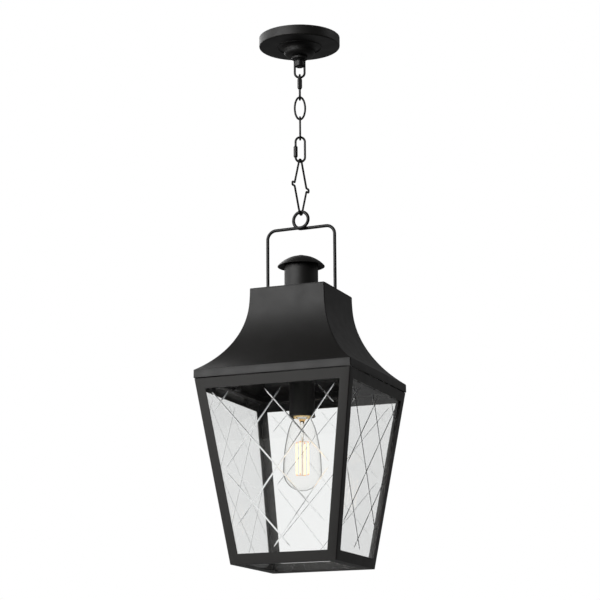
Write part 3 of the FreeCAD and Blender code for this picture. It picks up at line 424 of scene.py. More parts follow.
threaded_tube("nipple_tube", "threaded_nipple", ZINC, "ceiling_mount")
keep("mounting_strap", ZINC)
keep("nipple_lock_nut", ZINC)
screw_x, head_foot = (low("ground_screw").x + high("ground_screw").x) / 2, low("ground_screw").z
screw_outline = [(0, head_foot), (0.9, head_foot)] + arc(2.2, head_foot + 0.8, 0.8, -90, 0, 5)
screw_outline += [(3, -2), (1.6, -2), (1.6, 0), (0, 0)]
screw_part = turned_by(lathe(screw_outline, closed=False, sides=48), 0, (screw_x, 0, 0))
piece("ground_screw_head", screw_part, "ceiling_mount", GREEN, ["ground_screw"])


# ---------------------------------------------------------------- chain
def middle_of(node):
    return (low(node).z + high(node).z) / 2


QUICK_WIRE, QUICK_REACH, QUICK_HALF, MOUTH = 1.75, 7.25, 21.65, 6.0


def quick_link(node, turn, mouth_low):
    """A rod bent to a long loop that is open on one side, from mouth_low over the mouth's height."""
    z = middle_of(node)
    run = (high(node).z - low(node).z) / 2 - QUICK_WIRE
    straight = run - QUICK_REACH
    path = [(-QUICK_REACH, 0, mouth_low)]
    path += [(x, 0, y) for x, y in arc(0, -straight, QUICK_REACH, 180, 360, 30)]
    path += [(x, 0, y) for x, y in arc(0, straight, QUICK_REACH, 0, 180, 30)]
    path += [(-QUICK_REACH, 0, mouth_low + MOUTH)]
    rod = turned_by(tube(path, QUICK_WIRE), turn, (0, 0, z))
    piece(node + "_rod", rod, node, WIRE_PAINT, [node])


def sleeve_nut(node, turn):
    """A long hexagon nut whose ends are turned down to a cone."""
    top, foot = high(node).z, low(node).z
    bore, corner_half, end_half, cone_rate = 1.82, 3.75, 2.45, 0.62
    across = corner_half * math.cos(math.radians(30))

    def facets(angle, radius, z):
        turn_in_facet = (angle + math.radians(30)) % math.radians(60) - math.radians(30)
        flat = across / math.cos(turn_in_facet)
        return bore if radius == bore else min(flat, end_half + cone_rate * min(top - z, z - foot))

    heights = [foot + 0.15 * k for k in range(16)] + levels(foot + 3, top - 3, 3)
    heights += [top - 0.15 * k for k in range(15, -1, -1)]
    outline = [(bore, top), (bore, foot)] + [(corner_half, z) for z in heights]
    nut = lathe(outline, sides=72, ripple=facets)
    centre = Matrix.Rotation(math.radians(turn), 4, "Z") @ Vector((-QUICK_REACH, 0, 0))
    piece(node + "_sleeve", turned_by(nut, turn, centre), node, WIRE_PAINT, [node], crease=25)


quick_straight = QUICK_HALF - QUICK_WIRE - QUICK_REACH
quick_link("upper_quick_link", EDGE_ON, quick_straight - 7)
quick_link("lower_quick_link", FACE_ON, 1 - quick_straight)
sleeve_nut("upper_quick_link_nut", EDGE_ON)
sleeve_nut("lower_quick_link_nut", FACE_ON)


LINK_WIRE = 1.6


def chain_link(node, turn):
    tall, wide = (high(node).z - low(node).z) / 2 - LINK_WIRE, 8.15
    turns = [2 * math.pi * k / 120 for k in range(120)]
    link = tube([(wide * math.cos(a), 0, tall * math.sin(a)) for a in turns], LINK_WIRE, closed=True)
    link = turned_by(link, turn, (0, 0, middle_of(node)))
    piece(node + "_oval", link, node, WIRE_PAINT, [node])


chain_link("chain_link_1", FACE_ON)
chain_link("chain_link_2", EDGE_ON)

# A diamond of wire that is drawn out sideways into two knuckles
hanger_run = (high("hanger_link").z - low("hanger_link").z) / 2 - LINK_WIRE
slope, tip_bend, knuckle_bend, knuckle_half, knuckle_end = math.radians(22), 4.5, 2.1, 2.6, 27.6
tip = hanger_run + tip_bend * (1 / math.sin(slope) - 1)
leg = (tip - knuckle_half) * math.tan(slope)
lower_half = [(-knuckle_end, 0, -0.4), (-knuckle_end, 0, -knuckle_half), (-leg, 0, -knuckle_half)]
lower_half += [(0, 0, -tip), (leg, 0, -knuckle_half), (knuckle_end, 0, -knuckle_half)]
corners = lower_half + [(x, 0, -z) for x, _, z in reversed(lower_half)]
bends = [knuckle_bend, knuckle_bend, tip_bend, knuckle_bend, knuckle_bend]
hanger = tube(bent(corners, bends + bends[::-1]), LINK_WIRE)
hanger = turned_by(hanger, HANGER_TURN, (0, 0, middle_of("hanger_link")))
piece("hanger_wire", hanger, "hanger_link", WIRE_PAINT, ["hanger_link"])

# ---------------------------------------------------------------- bail
ROD, RING, ARM_BEND = 2.5, 13.0, 14
bail_half = high("bail").x - ROD
ring_middle = high("bail").z - ROD - RING
bar, half_pitch = ring_middle - RING, 2.8
end_slope = -half_pitch / bail_half * 2 * math.pi * RING


def ring_path():
    """One turn of the ring, whose ends run on into the two arms."""
    path = []
    for step in range(1, 96):
        t = step / 96
        ease = 3 * t**2 - 2 * t**3
        y = half_pitch * (2 * ease - 1) + end_slope * (2 * t**3 - 3 * t**2 + t)
        a = 2 * math.pi * t
        path.append(Vector((RING * math.sin(a), y, ring_middle - RING * math.cos(a))))
    return path


foot = low("bail").z
left_arm = [(-bail_half, 0, foot), (-bail_half, 0, bar), (0, -half_pitch, bar)]
right_arm = [(0, half_pitch, bar), (bail_half, 0, bar), (bail_half, 0, foot)]
bail_path = bent(left_arm, [ARM_BEND]) + ring_path() + bent(right_arm, [ARM_BEND])
piece("bail_rod", tube(bail_path, ROD, sides=28), "lantern", WIRE_PAINT, ["bail"])
keep("bail_nuts", PAINT)

# ---------------------------------------------------------------- roof
roof_top, plate_foot = high("roof_plate").z, low("roof_plate").z
top_half, eave_half = high("roof_plate").x, high("roof_panel_right").x
eave_foot = low("roof_panel_right").z
R1, TURN1, TURN2, SHEET = 290.0, 5.0, 56.8, 1.0


def square_ring(half, corner, z, steps=8):
    ring, flat, start = [], half - corner, 0
    for x, y in ((1, 1), (-1, 1), (-1, -1), (1, -1)):
        ring += [(px, py, z) for px, py in arc(x * flat, y * flat, corner, start, start + 90, steps)]
        start += 90
    return ring


# The two arcs of the flare meet at the change, where the slope is TURN1
change_x = top_half + R1 * (1 - math.cos(math.radians(TURN1)))
change_z = plate_foot - R1 * math.sin(math.radians(TURN1))
spread = math.cos(math.radians(TURN1)) - math.cos(math.radians(TURN2))
R2 = (eave_half - change_x) / spread
lower_centre = (
    change_x + R2 * math.cos(math.radians(TURN1)),
    change_z + R2 * math.sin(math.radians(TURN1)),
)
eave_top = lower_centre[1] - R2 * math.sin(math.radians(TURN2))
outside = (
    [(top_half - 0.5, plate_foot), (top_half, plate_foot - 0.4)]
    + arc(top_half + R1, plate_foot, R1, 180.2, 180 + TURN1, 12)
    + arc(*lower_centre, R2, 180 + TURN1 + 1.5, 180 + TURN2 - 0.6, 36)
    + [(eave_half - 0.28, eave_top + 0.1), (eave_half, eave_top - 0.6)]
    + [(eave_half, eave_foot + 0.4), (eave_half - 0.3, eave_foot)]
)
inside_turn = math.degrees(math.acos((lower_centre[0] - eave_half + SHEET) / (R2 + SHEET)))
inside = (
    [(eave_half - SHEET + 0.2, eave_foot), (eave_half - SHEET, eave_foot + 0.3)]
    + arc(*lower_centre, R2 + SHEET, 180 + inside_turn, 180 + TURN1 + 1.5, 36)
    + arc(top_half + R1, plate_foot, R1 + SHEET, 180 + TURN1, 180, 12)
)
roof_rings = [square_ring(h, 1.9, z) for h, z in outside] + [square_ring(h, 1.0, z) for h, z in inside]
roof_nodes = ["roof_panel_" + side for side in SIDES]
piece("roof_shell", shell(roof_rings), "lantern", PAINT, roof_nodes, crease=24)


def plate_ring(half, corner, z, count=96):
    """A rounded square seen as points at even angles, to match a circle's points."""
    ring = []
    for k in range(count):
        a = 2 * math.pi * k / count
        c, s = abs(math.cos(a)), abs(math.sin(a))
        limit = half * math.sqrt(2) - corner * (math.sqrt(2) - 1)
        reach = min(half / max(c, s), limit)
        ring.append((reach * math.cos(a), reach * math.sin(a), z))
    return ring


def round_ring(radius, z, count=96):
    turns = [2 * math.pi * k / count for k in range(count)]
    return [(radius * math.cos(a), radius * math.sin(a), z) for a in turns]


plate_hole = 22
roof_top_rings = [
    round_ring(plate_hole, plate_foot),
    round_ring(plate_hole, roof_top),
    plate_ring(top_half - 0.7, 1.5, roof_top),
    plate_ring(top_half - 0.15, 1.7, roof_top - 0.25),
    plate_ring(top_half, 1.9, roof_top - 0.8),
    plate_ring(top_half, 1.9, plate_foot),
]
piece("roof_top", shell(roof_top_rings), "lantern", PAINT, ["roof_plate"])

tube_half, tube_top, NOTCH, NOTCH_DEPTH = 26.0, high("chimney").z, 9.0, 4.5


def chimney_part():
    """A tube whose rim has four square notches."""
    edge = math.degrees(math.asin(NOTCH / 2 / tube_half))
    stops = []
    for quarter in range(4):
        start = 90 * quarter
        stops += [(start - edge + 2 * edge * k / 4, True) for k in range(4)]
        stops += [(start + edge + (90 - 2 * edge) * k / 20, False) for k in range(20)]
    points, faces = [], []
    heights = (roof_top, tube_top - NOTCH_DEPTH, tube_top)
    for degrees, _ in stops:
        a = math.radians(degrees)
        for radius in (tube_half, tube_half - SHEET):
            points += [(radius * math.cos(a), radius * math.sin(a), z) for z in heights]
    count = len(stops)
    for k, (_, notched) in enumerate(stops):
        a, b = 6 * k, 6 * ((k + 1) % count)
        faces.append((a, b, b + 1, a + 1))
        faces.append((a + 3, a + 4, b + 4, b + 3))
        faces.append((a, a + 3, b + 3, b))
        rim_level = 1 if notched else 2
        faces.append((a + rim_level, b + rim_level, b + 3 + rim_level, a + 3 + rim_level))
        if not notched:
            faces.append((a + 1, b + 1, b + 2, a + 2))
            faces.append((a + 4, a + 5, b + 5, b + 4))
        before = stops[k - 1][1]
        if before != notched:
            faces.append((a + 1, a + 2, a + 5, a + 4))
    return points, faces


eased(piece("chimney_tube", chimney_part(), "lantern", PAINT, ["chimney"]), 0.2)

CAP_RIM, CAP_HALF, CAP_RISE, CAP_HOLE = -370.0, 36.4, 16.2, 5
CAP_R = (CAP_HALF**2 + CAP_RISE**2) / (2 * CAP_RISE)
dome_centre = CAP_RIM + CAP_RISE - CAP_R
rim_turn = math.degrees(math.acos(CAP_HALF / CAP_R))
hole_turn = math.degrees(math.acos(CAP_HOLE / CAP_R))
inner_hole_turn = math.degrees(math.acos(CAP_HOLE / (CAP_R - SHEET)))
cap_outline = (
    arc(0, dome_centre, CAP_R, hole_turn, rim_turn + 0.6, 40)
    + arc(0, dome_centre, CAP_R - 0.5, rim_turn - 0.5, rim_turn - 0.6, 1)
    + arc(0, dome_centre, CAP_R - SHEET, rim_turn + 0.4, inner_hole_turn, 40)
)
piece("cap_dome", lathe(cap_outline, sides=128), "lantern", PAINT, ["chimney_cap"], crease=30)
keep("cord_grommet", RUBBER, 0.2)

# ---------------------------------------------------------------- tapered frame
frame_top, frame_foot = high("top_rail_front").z, low("bottom_rail_front").z
TOP_HALF, FOOT_HALF, FLANGE, ANGLE = 123.9, 83.4, 15.0, 1.5
# A hair's breadth of skin at each end keeps the corners sharp. The windows are between rings 2 and 3
HAIR, WINDOW_BAND = 0.02, 2


def half(z):
    """The tapered body's half width at a height."""
    return TOP_HALF - (frame_top - z) * (TOP_HALF - FOOT_HALF) / (frame_top - frame_foot)


def frame_skin(setback, corner, top, foot):
    """One skin of the welded angle frame: four window frames that meet at rounded corners."""
    heights = [top, top - HAIR, frame_top - FLANGE, frame_foot + FLANGE, foot + HAIR, foot]
    rings = []
    for z in heights:
        reach, ring = half(z) - setback, []
        window = half(z) - FLANGE
        for quarter in range(4):
            side = [(reach, -window), (reach, window)]
            side += arc(reach - corner, reach - corner, corner, 4, 86, 6)
            spin = Matrix.Rotation(math.radians(90 * quarter), 2)
            ring += [(*(spin @ Vector(p)), z) for p in side]
        rings.append(ring)
    points = [p for ring in rings for p in ring]
    count = len(rings[0])
    per_side = count // 4
    faces, holes = [], []
    for k in range(len(rings) - 1):
        for i in range(count):
            j = (i + 1) % count
            face = (k * count + i, k * count + j, (k + 1) * count + j, (k + 1) * count + i)
            if k == WINDOW_BAND and i % per_side == 0:
                holes.append(face)
            else:
                faces.append(face)
    return points, faces, holes, count


def frame_part():
    """Outer and inner skins, window reveals and the level flanges at top and bottom."""
    outer, outer_faces, windows, count = frame_skin(0, 1.6, frame_top, frame_foot)
    inner, inner_faces, _, _ = frame_skin(ANGLE, 0.6, frame_top - ANGLE, frame_foot + ANGLE)
    shift = len(outer)
    points = outer + inner
    faces = outer_faces + [tuple(i + shift for i in face[::-1]) for face in inner_faces]
    for a, b, c, d in windows:
        for one, two in ((a, b), (b, c), (c, d), (d, a)):
            faces.append((one, two, two + shift, one + shift))

    def flange(level, ring_start, inner_start):
        """Closes one end with a level flange, whose lip is FLANGE wide."""
        reach = half(level) - FLANGE
        lip = []
        for k in range(count):
            x, y, _ = points[ring_start + k]
            lip.append((max(-reach, min(reach, x)), max(-reach, min(reach, y))))
        outer_z, inner_z = points[ring_start][2], points[inner_start][2]
        first = len(points)
        points.extend((x, y, outer_z) for x, y in lip)
        points.extend((x, y, inner_z) for x, y in lip)
        for k in range(count):
            j = (k + 1) % count
            faces.append((ring_start + k, ring_start + j, first + j, first + k))
            faces.append((inner_start + k, inner_start + j, first + count + j, first + count + k))
            faces.append((first + k, first + j, first + count + j, first + count + k))

    last_ring = len(outer) - count
    flange(frame_top, 0, shift)
    flange(frame_foot, last_ring, shift + last_ring)
    return points, faces


CORNERS = ("front_right", "back_right", "back_left", "front_left")
frame_nodes = ["corner_post_" + corner for corner in CORNERS]
frame_nodes += [f"{rail}_rail_{side}" for rail in ("top", "bottom") for side in SIDES]
welded = piece("body_frame", frame_part(), "lantern", PAINTED_LIGHT_FRAME_PAINT, frame_nodes, crease=30)
eased(welded, 0.35)

keep("glass_clips", PAINT, 0.2)
keep("roof_brackets", PAINT, 0.25)
keep("frame_screws", ZINC, 0.35)

# ---------------------------------------------------------------- cut glass
PANE, PANE_GAP, PANE_INSET = 3.0, 0.5, 6
TILT = math.atan2(TOP_HALF - FOOT_HALF, frame_top - frame_foot)
STEP_ACROSS, STEP_DOWN = 42.0, 50.3
FIRST_CROSSING, GROOVE_HALF, GROOVE_DEPTH = 37.3, 1.25, 0.7
EDGE_INSET = 7.0


def pane_outline():
    """The pane's corners on the face plane: u across, v down the slope from the frame's top."""
    top_v = (ANGLE + PANE_GAP) / math.cos(TILT)
    foot_v = (frame_top - frame_foot - ANGLE) / math.cos(TILT)
    corners = ((-1, top_v), (1, top_v), (1, foot_v), (-1, foot_v))
    return [(side * (width_at(v) - PANE_INSET), v) for side, v in corners]


def width_at(v):
    """The face's half width at v."""
    return TOP_HALF - v * math.sin(TILT)


def groove_lines(lean):
    """Parallel cuts that lean one way, each clipped to a trapezoid inside the window."""
    v_low = FLANGE + EDGE_INSET - 0.7
    v_high = (frame_top - frame_foot) / math.cos(TILT) - FLANGE - EDGE_INSET
    rate = lean * STEP_ACROSS / STEP_DOWN
    lines = []
    for k in range(-6, 7):
        start = 2 * STEP_ACROSS * k
        inside = []
        for step in range(int((v_high - v_low) * 4) + 1):
            v = v_low + step / 4
            u = start + (v - FIRST_CROSSING) * rate
            if abs(u) <= width_at(v) - FLANGE - EDGE_INSET:
                inside.append((u, v))
        if len(inside) > 60:
            lines.append((Vector(inside[0]), Vector(inside[-1])))
    return lines


def groove_cutter(lines):
    """A long V-shaped wedge for each line, with pointed ends, in (u, v, outward) space."""
    parts = []
    for start, end in lines:
        along = (end - start).normalized()
        across = Vector((-along.y, along.x))
        length = (end - start).length
        ends = min(9.0, length / 3)
        rings = []
        taper = [(0, 0.02), (ends / 3, 0.55), (ends, 1)]
        taper += [(length - place, size) for place, size in reversed(taper)]
        for place, size in taper:
            middle = start + along * place
            wide, deep = GROOVE_HALF * size * 1.5, GROOVE_DEPTH * size
            left, right = middle - across * wide, middle + across * wide
            rings.append([(*left, deep * 0.5), (*right, deep * 0.5), (*middle, -deep)])
        points, faces = shell(rings, closed=False)
        last = len(points)
        faces += [(2, 1, 0), (last - 3, last - 2, last - 1)]
        parts.append((points, faces))
    return joined(*parts)


def plain_mesh(name, part, materials):
    """An object for cutting with, which is not part of the model."""
    mesh = bpy.data.meshes.new(name)
    mesh.from_pydata([Vector(p) * MM for p in part[0]], [], part[1])
    work = bmesh.new()
    work.from_mesh(mesh)
    bmesh.ops.recalc_face_normals(work, faces=work.faces)
    work.to_mesh(mesh)
    work.free()
    for material in materials:
        mesh.materials.append(material)
    thing = bpy.data.objects.new(name, mesh)
    bpy.context.scene.collection.objects.link(thing)
    return thing


def cut_pane_mesh():
    """The pane as a slab whose outer face has the two sets of V cuts."""
    outline = pane_outline()
    rings = [[(u, v, w) for u, v in outline] for w in (0, -PANE)]
    points, faces = shell(rings, closed=False)
    slab = plain_mesh("pane_slab", (points, faces + [(0, 1, 2, 3), (7, 6, 5, 4)]), [GLASS, GROOVE])
    cutters = []
    for number, lean in enumerate((1, -1)):
        cutters.append(plain_mesh(f"pane_cutter_{number}", groove_cutter(groove_lines(lean)), []))
    for cutter in cutters:
        cut = slab.modifiers.new(cutter.name, "BOOLEAN")
        cut.operation, cut.solver, cut.object = "DIFFERENCE", "EXACT", cutter
    shape = slab.evaluated_get(bpy.context.evaluated_depsgraph_get())
    mesh = bpy.data.meshes.new_from_object(shape)
    for thing in [slab, *cutters]:
        bpy.data.objects.remove(thing)
    for face in mesh.polygons:
        steep = 0.3 < abs(face.normal.z) < 0.97
        face.material_index = 1 if steep and face.center.z > -GROOVE_DEPTH * 1.2 * MM else 0
    return mesh


pane_mesh = cut_pane_mesh()
face_origin = Vector((0, -TOP_HALF, frame_top)) * MM
setback = (ANGLE + PANE_GAP) * math.cos(TILT) * MM
down = Vector((0, math.sin(TILT), -math.cos(TILT)))
outward = Vector((0, -math.cos(TILT), -math.sin(TILT)))
axes = Matrix((Vector((1, 0, 0)), down, outward)).transposed().to_4x4()
front_place = Matrix.Translation(face_origin - outward * setback) @ axes
for number, side in enumerate(SIDES):
    pane = bpy.data.objects.new("cut_pane_" + side, pane_mesh.copy())
    pane.visible_shadow = False
    bpy.context.scene.collection.objects.link(pane)
    pane.data.transform(Matrix.Rotation(math.radians(90 * number), 4, "Z") @ front_place)
    # The face's axes are left-handed, so its faces are turned back
    pane.data.flip_normals()
    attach(pane, "lantern")
    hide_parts("glass_" + side)

# ---------------------------------------------------------------- lamp socket
keep("socket_crossbar", PAINT, 0.4)
keep("socket_nuts", ZINC, 0.3)
threaded_tube("socket_nipple_tube", "socket_nipple", ZINC, "lantern")

cover_top, cover_foot, cover_rim = high("socket_cover").z, low("socket_cover").z, high("socket_cover").x
TIN, COVER_HOLE, COVER_ROUNDING = 0.8, 4.8, 2.2
round_x, round_z = cover_rim - COVER_ROUNDING, cover_top - COVER_ROUNDING
cover_outline = (
    [(COVER_HOLE, cover_top), (round_x, cover_top)]
    + arc(round_x, round_z, COVER_ROUNDING, 90, 0, 8)[1:]
    + [(cover_rim, cover_foot + 0.3), (cover_rim - 0.3, cover_foot), (cover_rim - TIN, cover_foot)]
    + arc(round_x, round_z, COVER_ROUNDING - TIN, 0, 90, 8)
    + [(COVER_HOLE, cover_top - TIN)]
)
piece("socket_lid", lathe(cover_outline), "lantern", PAINT, ["socket_cover"])

sleeve_top, sleeve_foot, sleeve_half = high("socket_sleeve").z, low("socket_sleeve").z, 19.5
sleeve_outline = (
    [(sleeve_half, sleeve_top), (sleeve_half, sleeve_foot + 3.4)]
    + arc(sleeve_half, sleeve_foot + 1.0, 0.9, 80, -80, 10)
    + [(sleeve_half - TIN, sleeve_foot), (sleeve_half - TIN, sleeve_top)]
)
piece("socket_tube", lathe(sleeve_outline), "lantern", PAINT, ["socket_sleeve"], crease=50)

porcelain_top, porcelain_foot = high("socket_body").z, low("socket_body").z
shell_top, shell_foot, bore = high("screw_shell").z, low("screw_shell").z, 14.0
porcelain_outline = (
    [(0, porcelain_top), (16.6, porcelain_top), (17.6, porcelain_top - 1)]
    + arc(16.4, porcelain_foot + 1.2, 1.2, 0, -90, 6)
    + arc(15.2, porcelain_foot + 1.2, 1.2, -90, -180, 6)
    + [(bore, shell_top), (0, shell_top)]
)
core_part = lathe(porcelain_outline, closed=False)
piece("socket_core", core_part, "lantern", PORCELAIN, ["socket_body"])

shell_levels = levels(shell_top, shell_foot + 0.4, 0.4)
shell_outline = [(bore - 0.05, z) for z in shell_levels] + [(bore - 0.3, shell_foot)]
shell_outline += [(bore - 0.5, z) for z in reversed(shell_levels)]
liner_part = lathe(shell_outline, ripple=screw_thread(3.6, 0.9))
piece("screw_shell_liner", liner_part, "lantern", BRASS, ["screw_shell"])
keep("centre_contact", BRASS, 0.3)

# ---------------------------------------------------------------- bulb
base_tip, base_foot, base_half = high("bulb_base").z, low("bulb_base").z, high("bulb_base").x
shoulder = base_tip - 3
crest, inside = base_half - 0.05, base_half - 1.8
metal_levels = levels(shoulder - 2.5, base_foot + 5, 0.3)
base_metal = (
    [(base_half - 3.4, shoulder - 0.2), (base_half - 1.2, shoulder - 1.2)]
    + [(crest, z) for z in metal_levels]
    + [(base_half - 0.5, base_foot + 4), (base_half - 0.1, base_foot + 3), (base_half, base_foot + 0.6)]
    + [(base_half - 0.3, base_foot), (base_half - 0.7, base_foot)]
    + [(inside, base_foot + 4), (inside, shoulder - 2.4), (base_half - 3.4, shoulder - 1)]
)
base_part = lathe(base_metal, ripple=screw_thread(3.6, 1.1, at=crest))
piece("base_cap", base_part, "bulb", GOLD, ["bulb_base"])
insulator_outline = [(base_half - 3.3, shoulder - 0.9), (base_half - 3.6, shoulder - 0.1)]
insulator_outline += [(6.2, base_tip - 1.2), (5, base_tip - 0.9), (0, base_tip - 0.9), (0, shoulder - 1)]
insulator_part = lathe(insulator_outline, closed=False)
piece("base_insulator", insulator_part, "bulb", INSULATOR, [])
contact_outline = [(0, base_tip)] + arc(0, base_tip - 3.2, 3.2, 88, 32, 8)
contact_outline += [(4.4, base_tip - 1.0), (0, base_tip - 1.0)]
piece("base_contact", lathe(contact_outline, closed=False, sides=48), "bulb", BRASS, [])

# The CAD bulb's neck is 3.7, so this glass ends 3.3 lower than the CAD glass
BULB_HALF, WALL, SIDE_TURN, SIDE_LENGTH, NECK = 29.0, 0.8, 17.4, 75.0, 7.0
MOUTH_STEPS = 12
side_radius = SIDE_LENGTH / math.sin(math.radians(SIDE_TURN))
side_centre = BULB_HALF - side_radius
neck_z = base_foot - NECK
belly = neck_z - SIDE_LENGTH


def bulb_wall(offset, steps):
    """The glass outline, from the bottom up to the mouth, drawn in by an offset."""
    wall = arc(0, belly, BULB_HALF - offset, -90, 0, steps)
    wall += arc(side_centre, belly, side_radius - offset, 0, SIDE_TURN - 2.2, steps)[1:]
    top = wall[-1]
    mouth = (base_half - 0.5 - offset, base_foot)
    control = (side_centre + (side_radius - offset) * math.cos(math.radians(SIDE_TURN + 1.2)), neck_z + 3.0)
    for k in range(1, MOUTH_STEPS + 1):
        t = k / MOUTH_STEPS
        weights = ((1 - t) ** 2, 2 * t * (1 - t), t * t)
        wall.append(tuple(sum(w * p[i] for w, p in zip(weights, (top, control, mouth))) for i in (0, 1)))
    return wall


bulb_outline = bulb_wall(0, 26) + bulb_wall(WALL, 26)[::-1]
envelope_part = lathe(bulb_outline, closed=False)
envelope = piece("bulb_envelope", envelope_part, "bulb", BULB_GLASS, ["bulb_glass"], crease=60)
envelope.visible_shadow = False

stem_foot = low("bulb_stem").z
stem_outline = (
    [(0, stem_foot)]
    + arc(0, stem_foot + 2.2, 2.2, -85, 0, 6)
    + [(2.4, stem_foot + 8), (2.6, stem_foot + 20), (3.4, base_foot - 6), (6.0, base_foot - 1.5)]
    + [(9.5, base_foot + 0.5), (9.0, base_foot + 1), (0, base_foot + 1)]
)
stem_part = lathe(stem_outline, closed=False, sides=48)
piece("stem_tube", stem_part, "bulb", STEM_GLASS, ["bulb_stem"])

STICK, CIRCLE, HOT_END, WIRE, MAST = 1.2, 9.4, 0.7, 0.38, 0.45
stick_top, stick_foot = high("filaments").z, low("filaments").z
sticks, hot_ends, wires = [], [], []
for quarter in range(4):
    a = math.radians(90 * quarter)
    x, y = CIRCLE * math.cos(a), CIRCLE * math.sin(a)
    outline = [(0, stick_foot + 1.6), (STICK * 0.8, stick_foot + 1.7), (STICK, stick_foot + 2.2)]
    outline += [(STICK, stick_top - 2.2), (STICK * 0.8, stick_top - 1.7), (0, stick_top - 1.6)]
    sticks.append(turned_by(lathe(outline, closed=False, sides=24), 0, (x, y, 0)))
    for end, inward in ((stick_top, -1), (stick_foot, 1)):
        hot_ends.append(tube([(x, y, end + inward * 1.7), (x, y, end)], HOT_END, sides=12))
    reach = [(x, y, stick_top - 0.4), (x * 0.97, y * 0.97, stick_top + 0.35)]
    reach.append((x * 0.12, y * 0.12, stick_top + 0.6))
    wires.append(tube(bent(reach, [0.5]), WIRE, sides=12))
    reach = [(x, y, stick_foot + 0.4), (x * 0.97, y * 0.97, stick_foot - 0.35), (0, 0, stick_foot - 0.6)]
    wires.append(tube(bent(reach, [0.5]), WIRE, sides=12))
mast = [(0, 0, stick_foot - 0.6), (0, 0, stick_top + 0.6), (0, 0, stem_foot + 6)]
wires.append(tube(mast, MAST, sides=12))
piece("filament_sticks", joined(*sticks), "bulb", FILAMENT, ["filaments"])
piece("filament_ends", joined(*hot_ends), "bulb", EMBER, [])
piece("filament_wires", joined(*wires), "bulb", SUPPORT, ["filament_supports"])

# ---------------------------------------------------------------- studio
# The floor lies far enough down (in metres) for views from below the lantern
FLOOR_SIZE, FLOOR_LEVEL = 60, -4.5
bpy.ops.mesh.primitive_grid_add(
    x_subdivisions=24, y_subdivisions=24, size=FLOOR_SIZE, location=(0, 0, FLOOR_LEVEL)
)
ground = bpy.context.object
ground.name = "floor"
FLOOR_LIGHT = {"Emission_Color": (1.0, 1.0, 0.99, 1), "Emission_Strength": 0.62}
FLOOR_PAINT = plain_stuff("floor", (0.8, 0.8, 0.8), (0.84, 0.84, 0.835), 0.7, 40, **FLOOR_LIGHT)
ground.data.materials.append(FLOOR_PAINT)
# The pale floor glows to look evenly lit, and throws none of that light back at the lantern
ground.visible_diffuse = False
ground.visible_glossy = False


LIT_LEVEL = -0.5


def softbox(name, azimuth, elevation, distance, size, power):
    """An area light that faces the lantern, whose front is azimuth 0, and is not seen through glass.

    Distance and size are in metres, and power is in watts."""
    light = bpy.data.lights.new(name, "AREA")
    light.shape, light.size, light.size_y = "RECTANGLE", size[0], size[1]
    light.energy = power
    a, e = math.radians(azimuth), math.radians(elevation)
    away = Vector((math.sin(a) * math.cos(e), -math.cos(a) * math.cos(e), math.sin(e)))
    lamp = bpy.data.objects.new(name, light)
    lamp.location = Vector((0, 0, LIT_LEVEL)) + away * distance
    lamp.visible_transmission = False
    lamp.rotation_mode = "QUATERNION"
    lamp.rotation_quaternion = away.to_track_quat("Z", "Y")
    bpy.context.scene.collection.objects.link(lamp)


softbox("key", -26, 17, 3.2, (3.2, 1.7), 76)
softbox("side", -78, 16, 3.2, (1.4, 2.4), 20)
softbox("rim_right", 118, 34, 3.0, (1.2, 1.0), 6)
softbox("back", 238, 30, 3.2, (2.4, 1.6), 40)

WHITE = 1.0
bpy.context.scene.view_settings.view_transform = "Standard"
world = bpy.data.worlds.new("studio")
bpy.context.scene.world = world
world.use_nodes = True
web = world.node_tree
background = web.nodes["Background"]
direction = web.nodes.new("ShaderNodeTexCoord").outputs["Generated"]
split = web.nodes.new("ShaderNodeSeparateXYZ")
web.links.new(direction, split.inputs["Vector"])
# The room is dim in front of the lantern and bright behind it
ramp = web.nodes.new("ShaderNodeValToRGB")
for element, (place, grey) in zip(ramp.color_ramp.elements, ((0.15, 0.03), (0.8, 0.17))):
    element.position = place
    element.color = (grey, grey, grey, 1)
web.links.new(split.outputs["Y"], ramp.inputs["Fac"])
path_of_ray = web.nodes.new("ShaderNodeLightPath").outputs


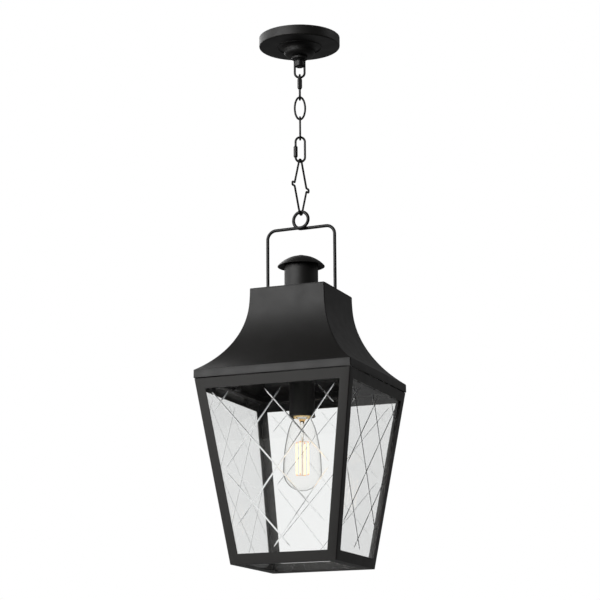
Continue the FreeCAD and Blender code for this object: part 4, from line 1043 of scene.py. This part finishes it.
def maths(kind, first, second):
    """A Math node; second is an output or a number."""
    step = web.nodes.new("ShaderNodeMath")
    step.operation = kind
    web.links.new(first, step.inputs[0])
    if isinstance(second, float):
        step.inputs[1].default_value = second
    else:
        web.links.new(second, step.inputs[1])
    return step.outputs["Value"]


# The backdrop is white where it is seen straight or through glass, and lights nothing
bounces = maths("ADD", path_of_ray["Diffuse Depth"], path_of_ray["Glossy Depth"])
straight = maths("LESS_THAN", bounces, 0.5)
through_glass = maths("MULTIPLY", path_of_ray["Is Transmission Ray"], straight)
mix = web.nodes.new("ShaderNodeMixRGB")
mix.inputs["Color2"].default_value = (WHITE, WHITE, WHITE, 1)
web.links.new(maths("MAXIMUM", path_of_ray["Is Camera Ray"], through_glass), mix.inputs["Fac"])
web.links.new(ramp.outputs["Color"], mix.inputs["Color1"])
web.links.new(mix.outputs["Color"], background.inputs["Color"])

# ---------------------------------------------------------------- camera
AZIMUTH, PITCH, YAW, ROLL = (math.radians(v) for v in (21.49, 12.53, 0.04, -0.44))
# The camera's distance from the lantern's axis and its height, in metres, and its lens in millimetres
DISTANCE, HEIGHT, LENS, SENSOR = 3.15712, -1.12481, 126.5, 36
level = Vector((-math.sin(AZIMUTH + YAW), math.cos(AZIMUTH + YAW), 0))
right = Vector((math.cos(AZIMUTH + YAW), math.sin(AZIMUTH + YAW), 0))
ahead = level * math.cos(PITCH) + Vector((0, 0, math.sin(PITCH)))
up = Vector((0, 0, math.cos(PITCH))) - level * math.sin(PITCH)
camera = bpy.data.objects.new("camera", bpy.data.cameras.new("camera"))
camera.data.sensor_width = SENSOR
camera.data.lens = LENS
camera.data.clip_end = 50
tilted_right = right * math.cos(ROLL) + up * math.sin(ROLL)
tilted_up = up * math.cos(ROLL) - right * math.sin(ROLL)
camera.matrix_world = Matrix((tilted_right, tilted_up, -ahead)).transposed().to_4x4()
camera.location = (DISTANCE * math.sin(AZIMUTH), -DISTANCE * math.cos(AZIMUTH), HEIGHT)
bpy.context.scene.collection.objects.link(camera)
bpy.context.scene.camera = camera
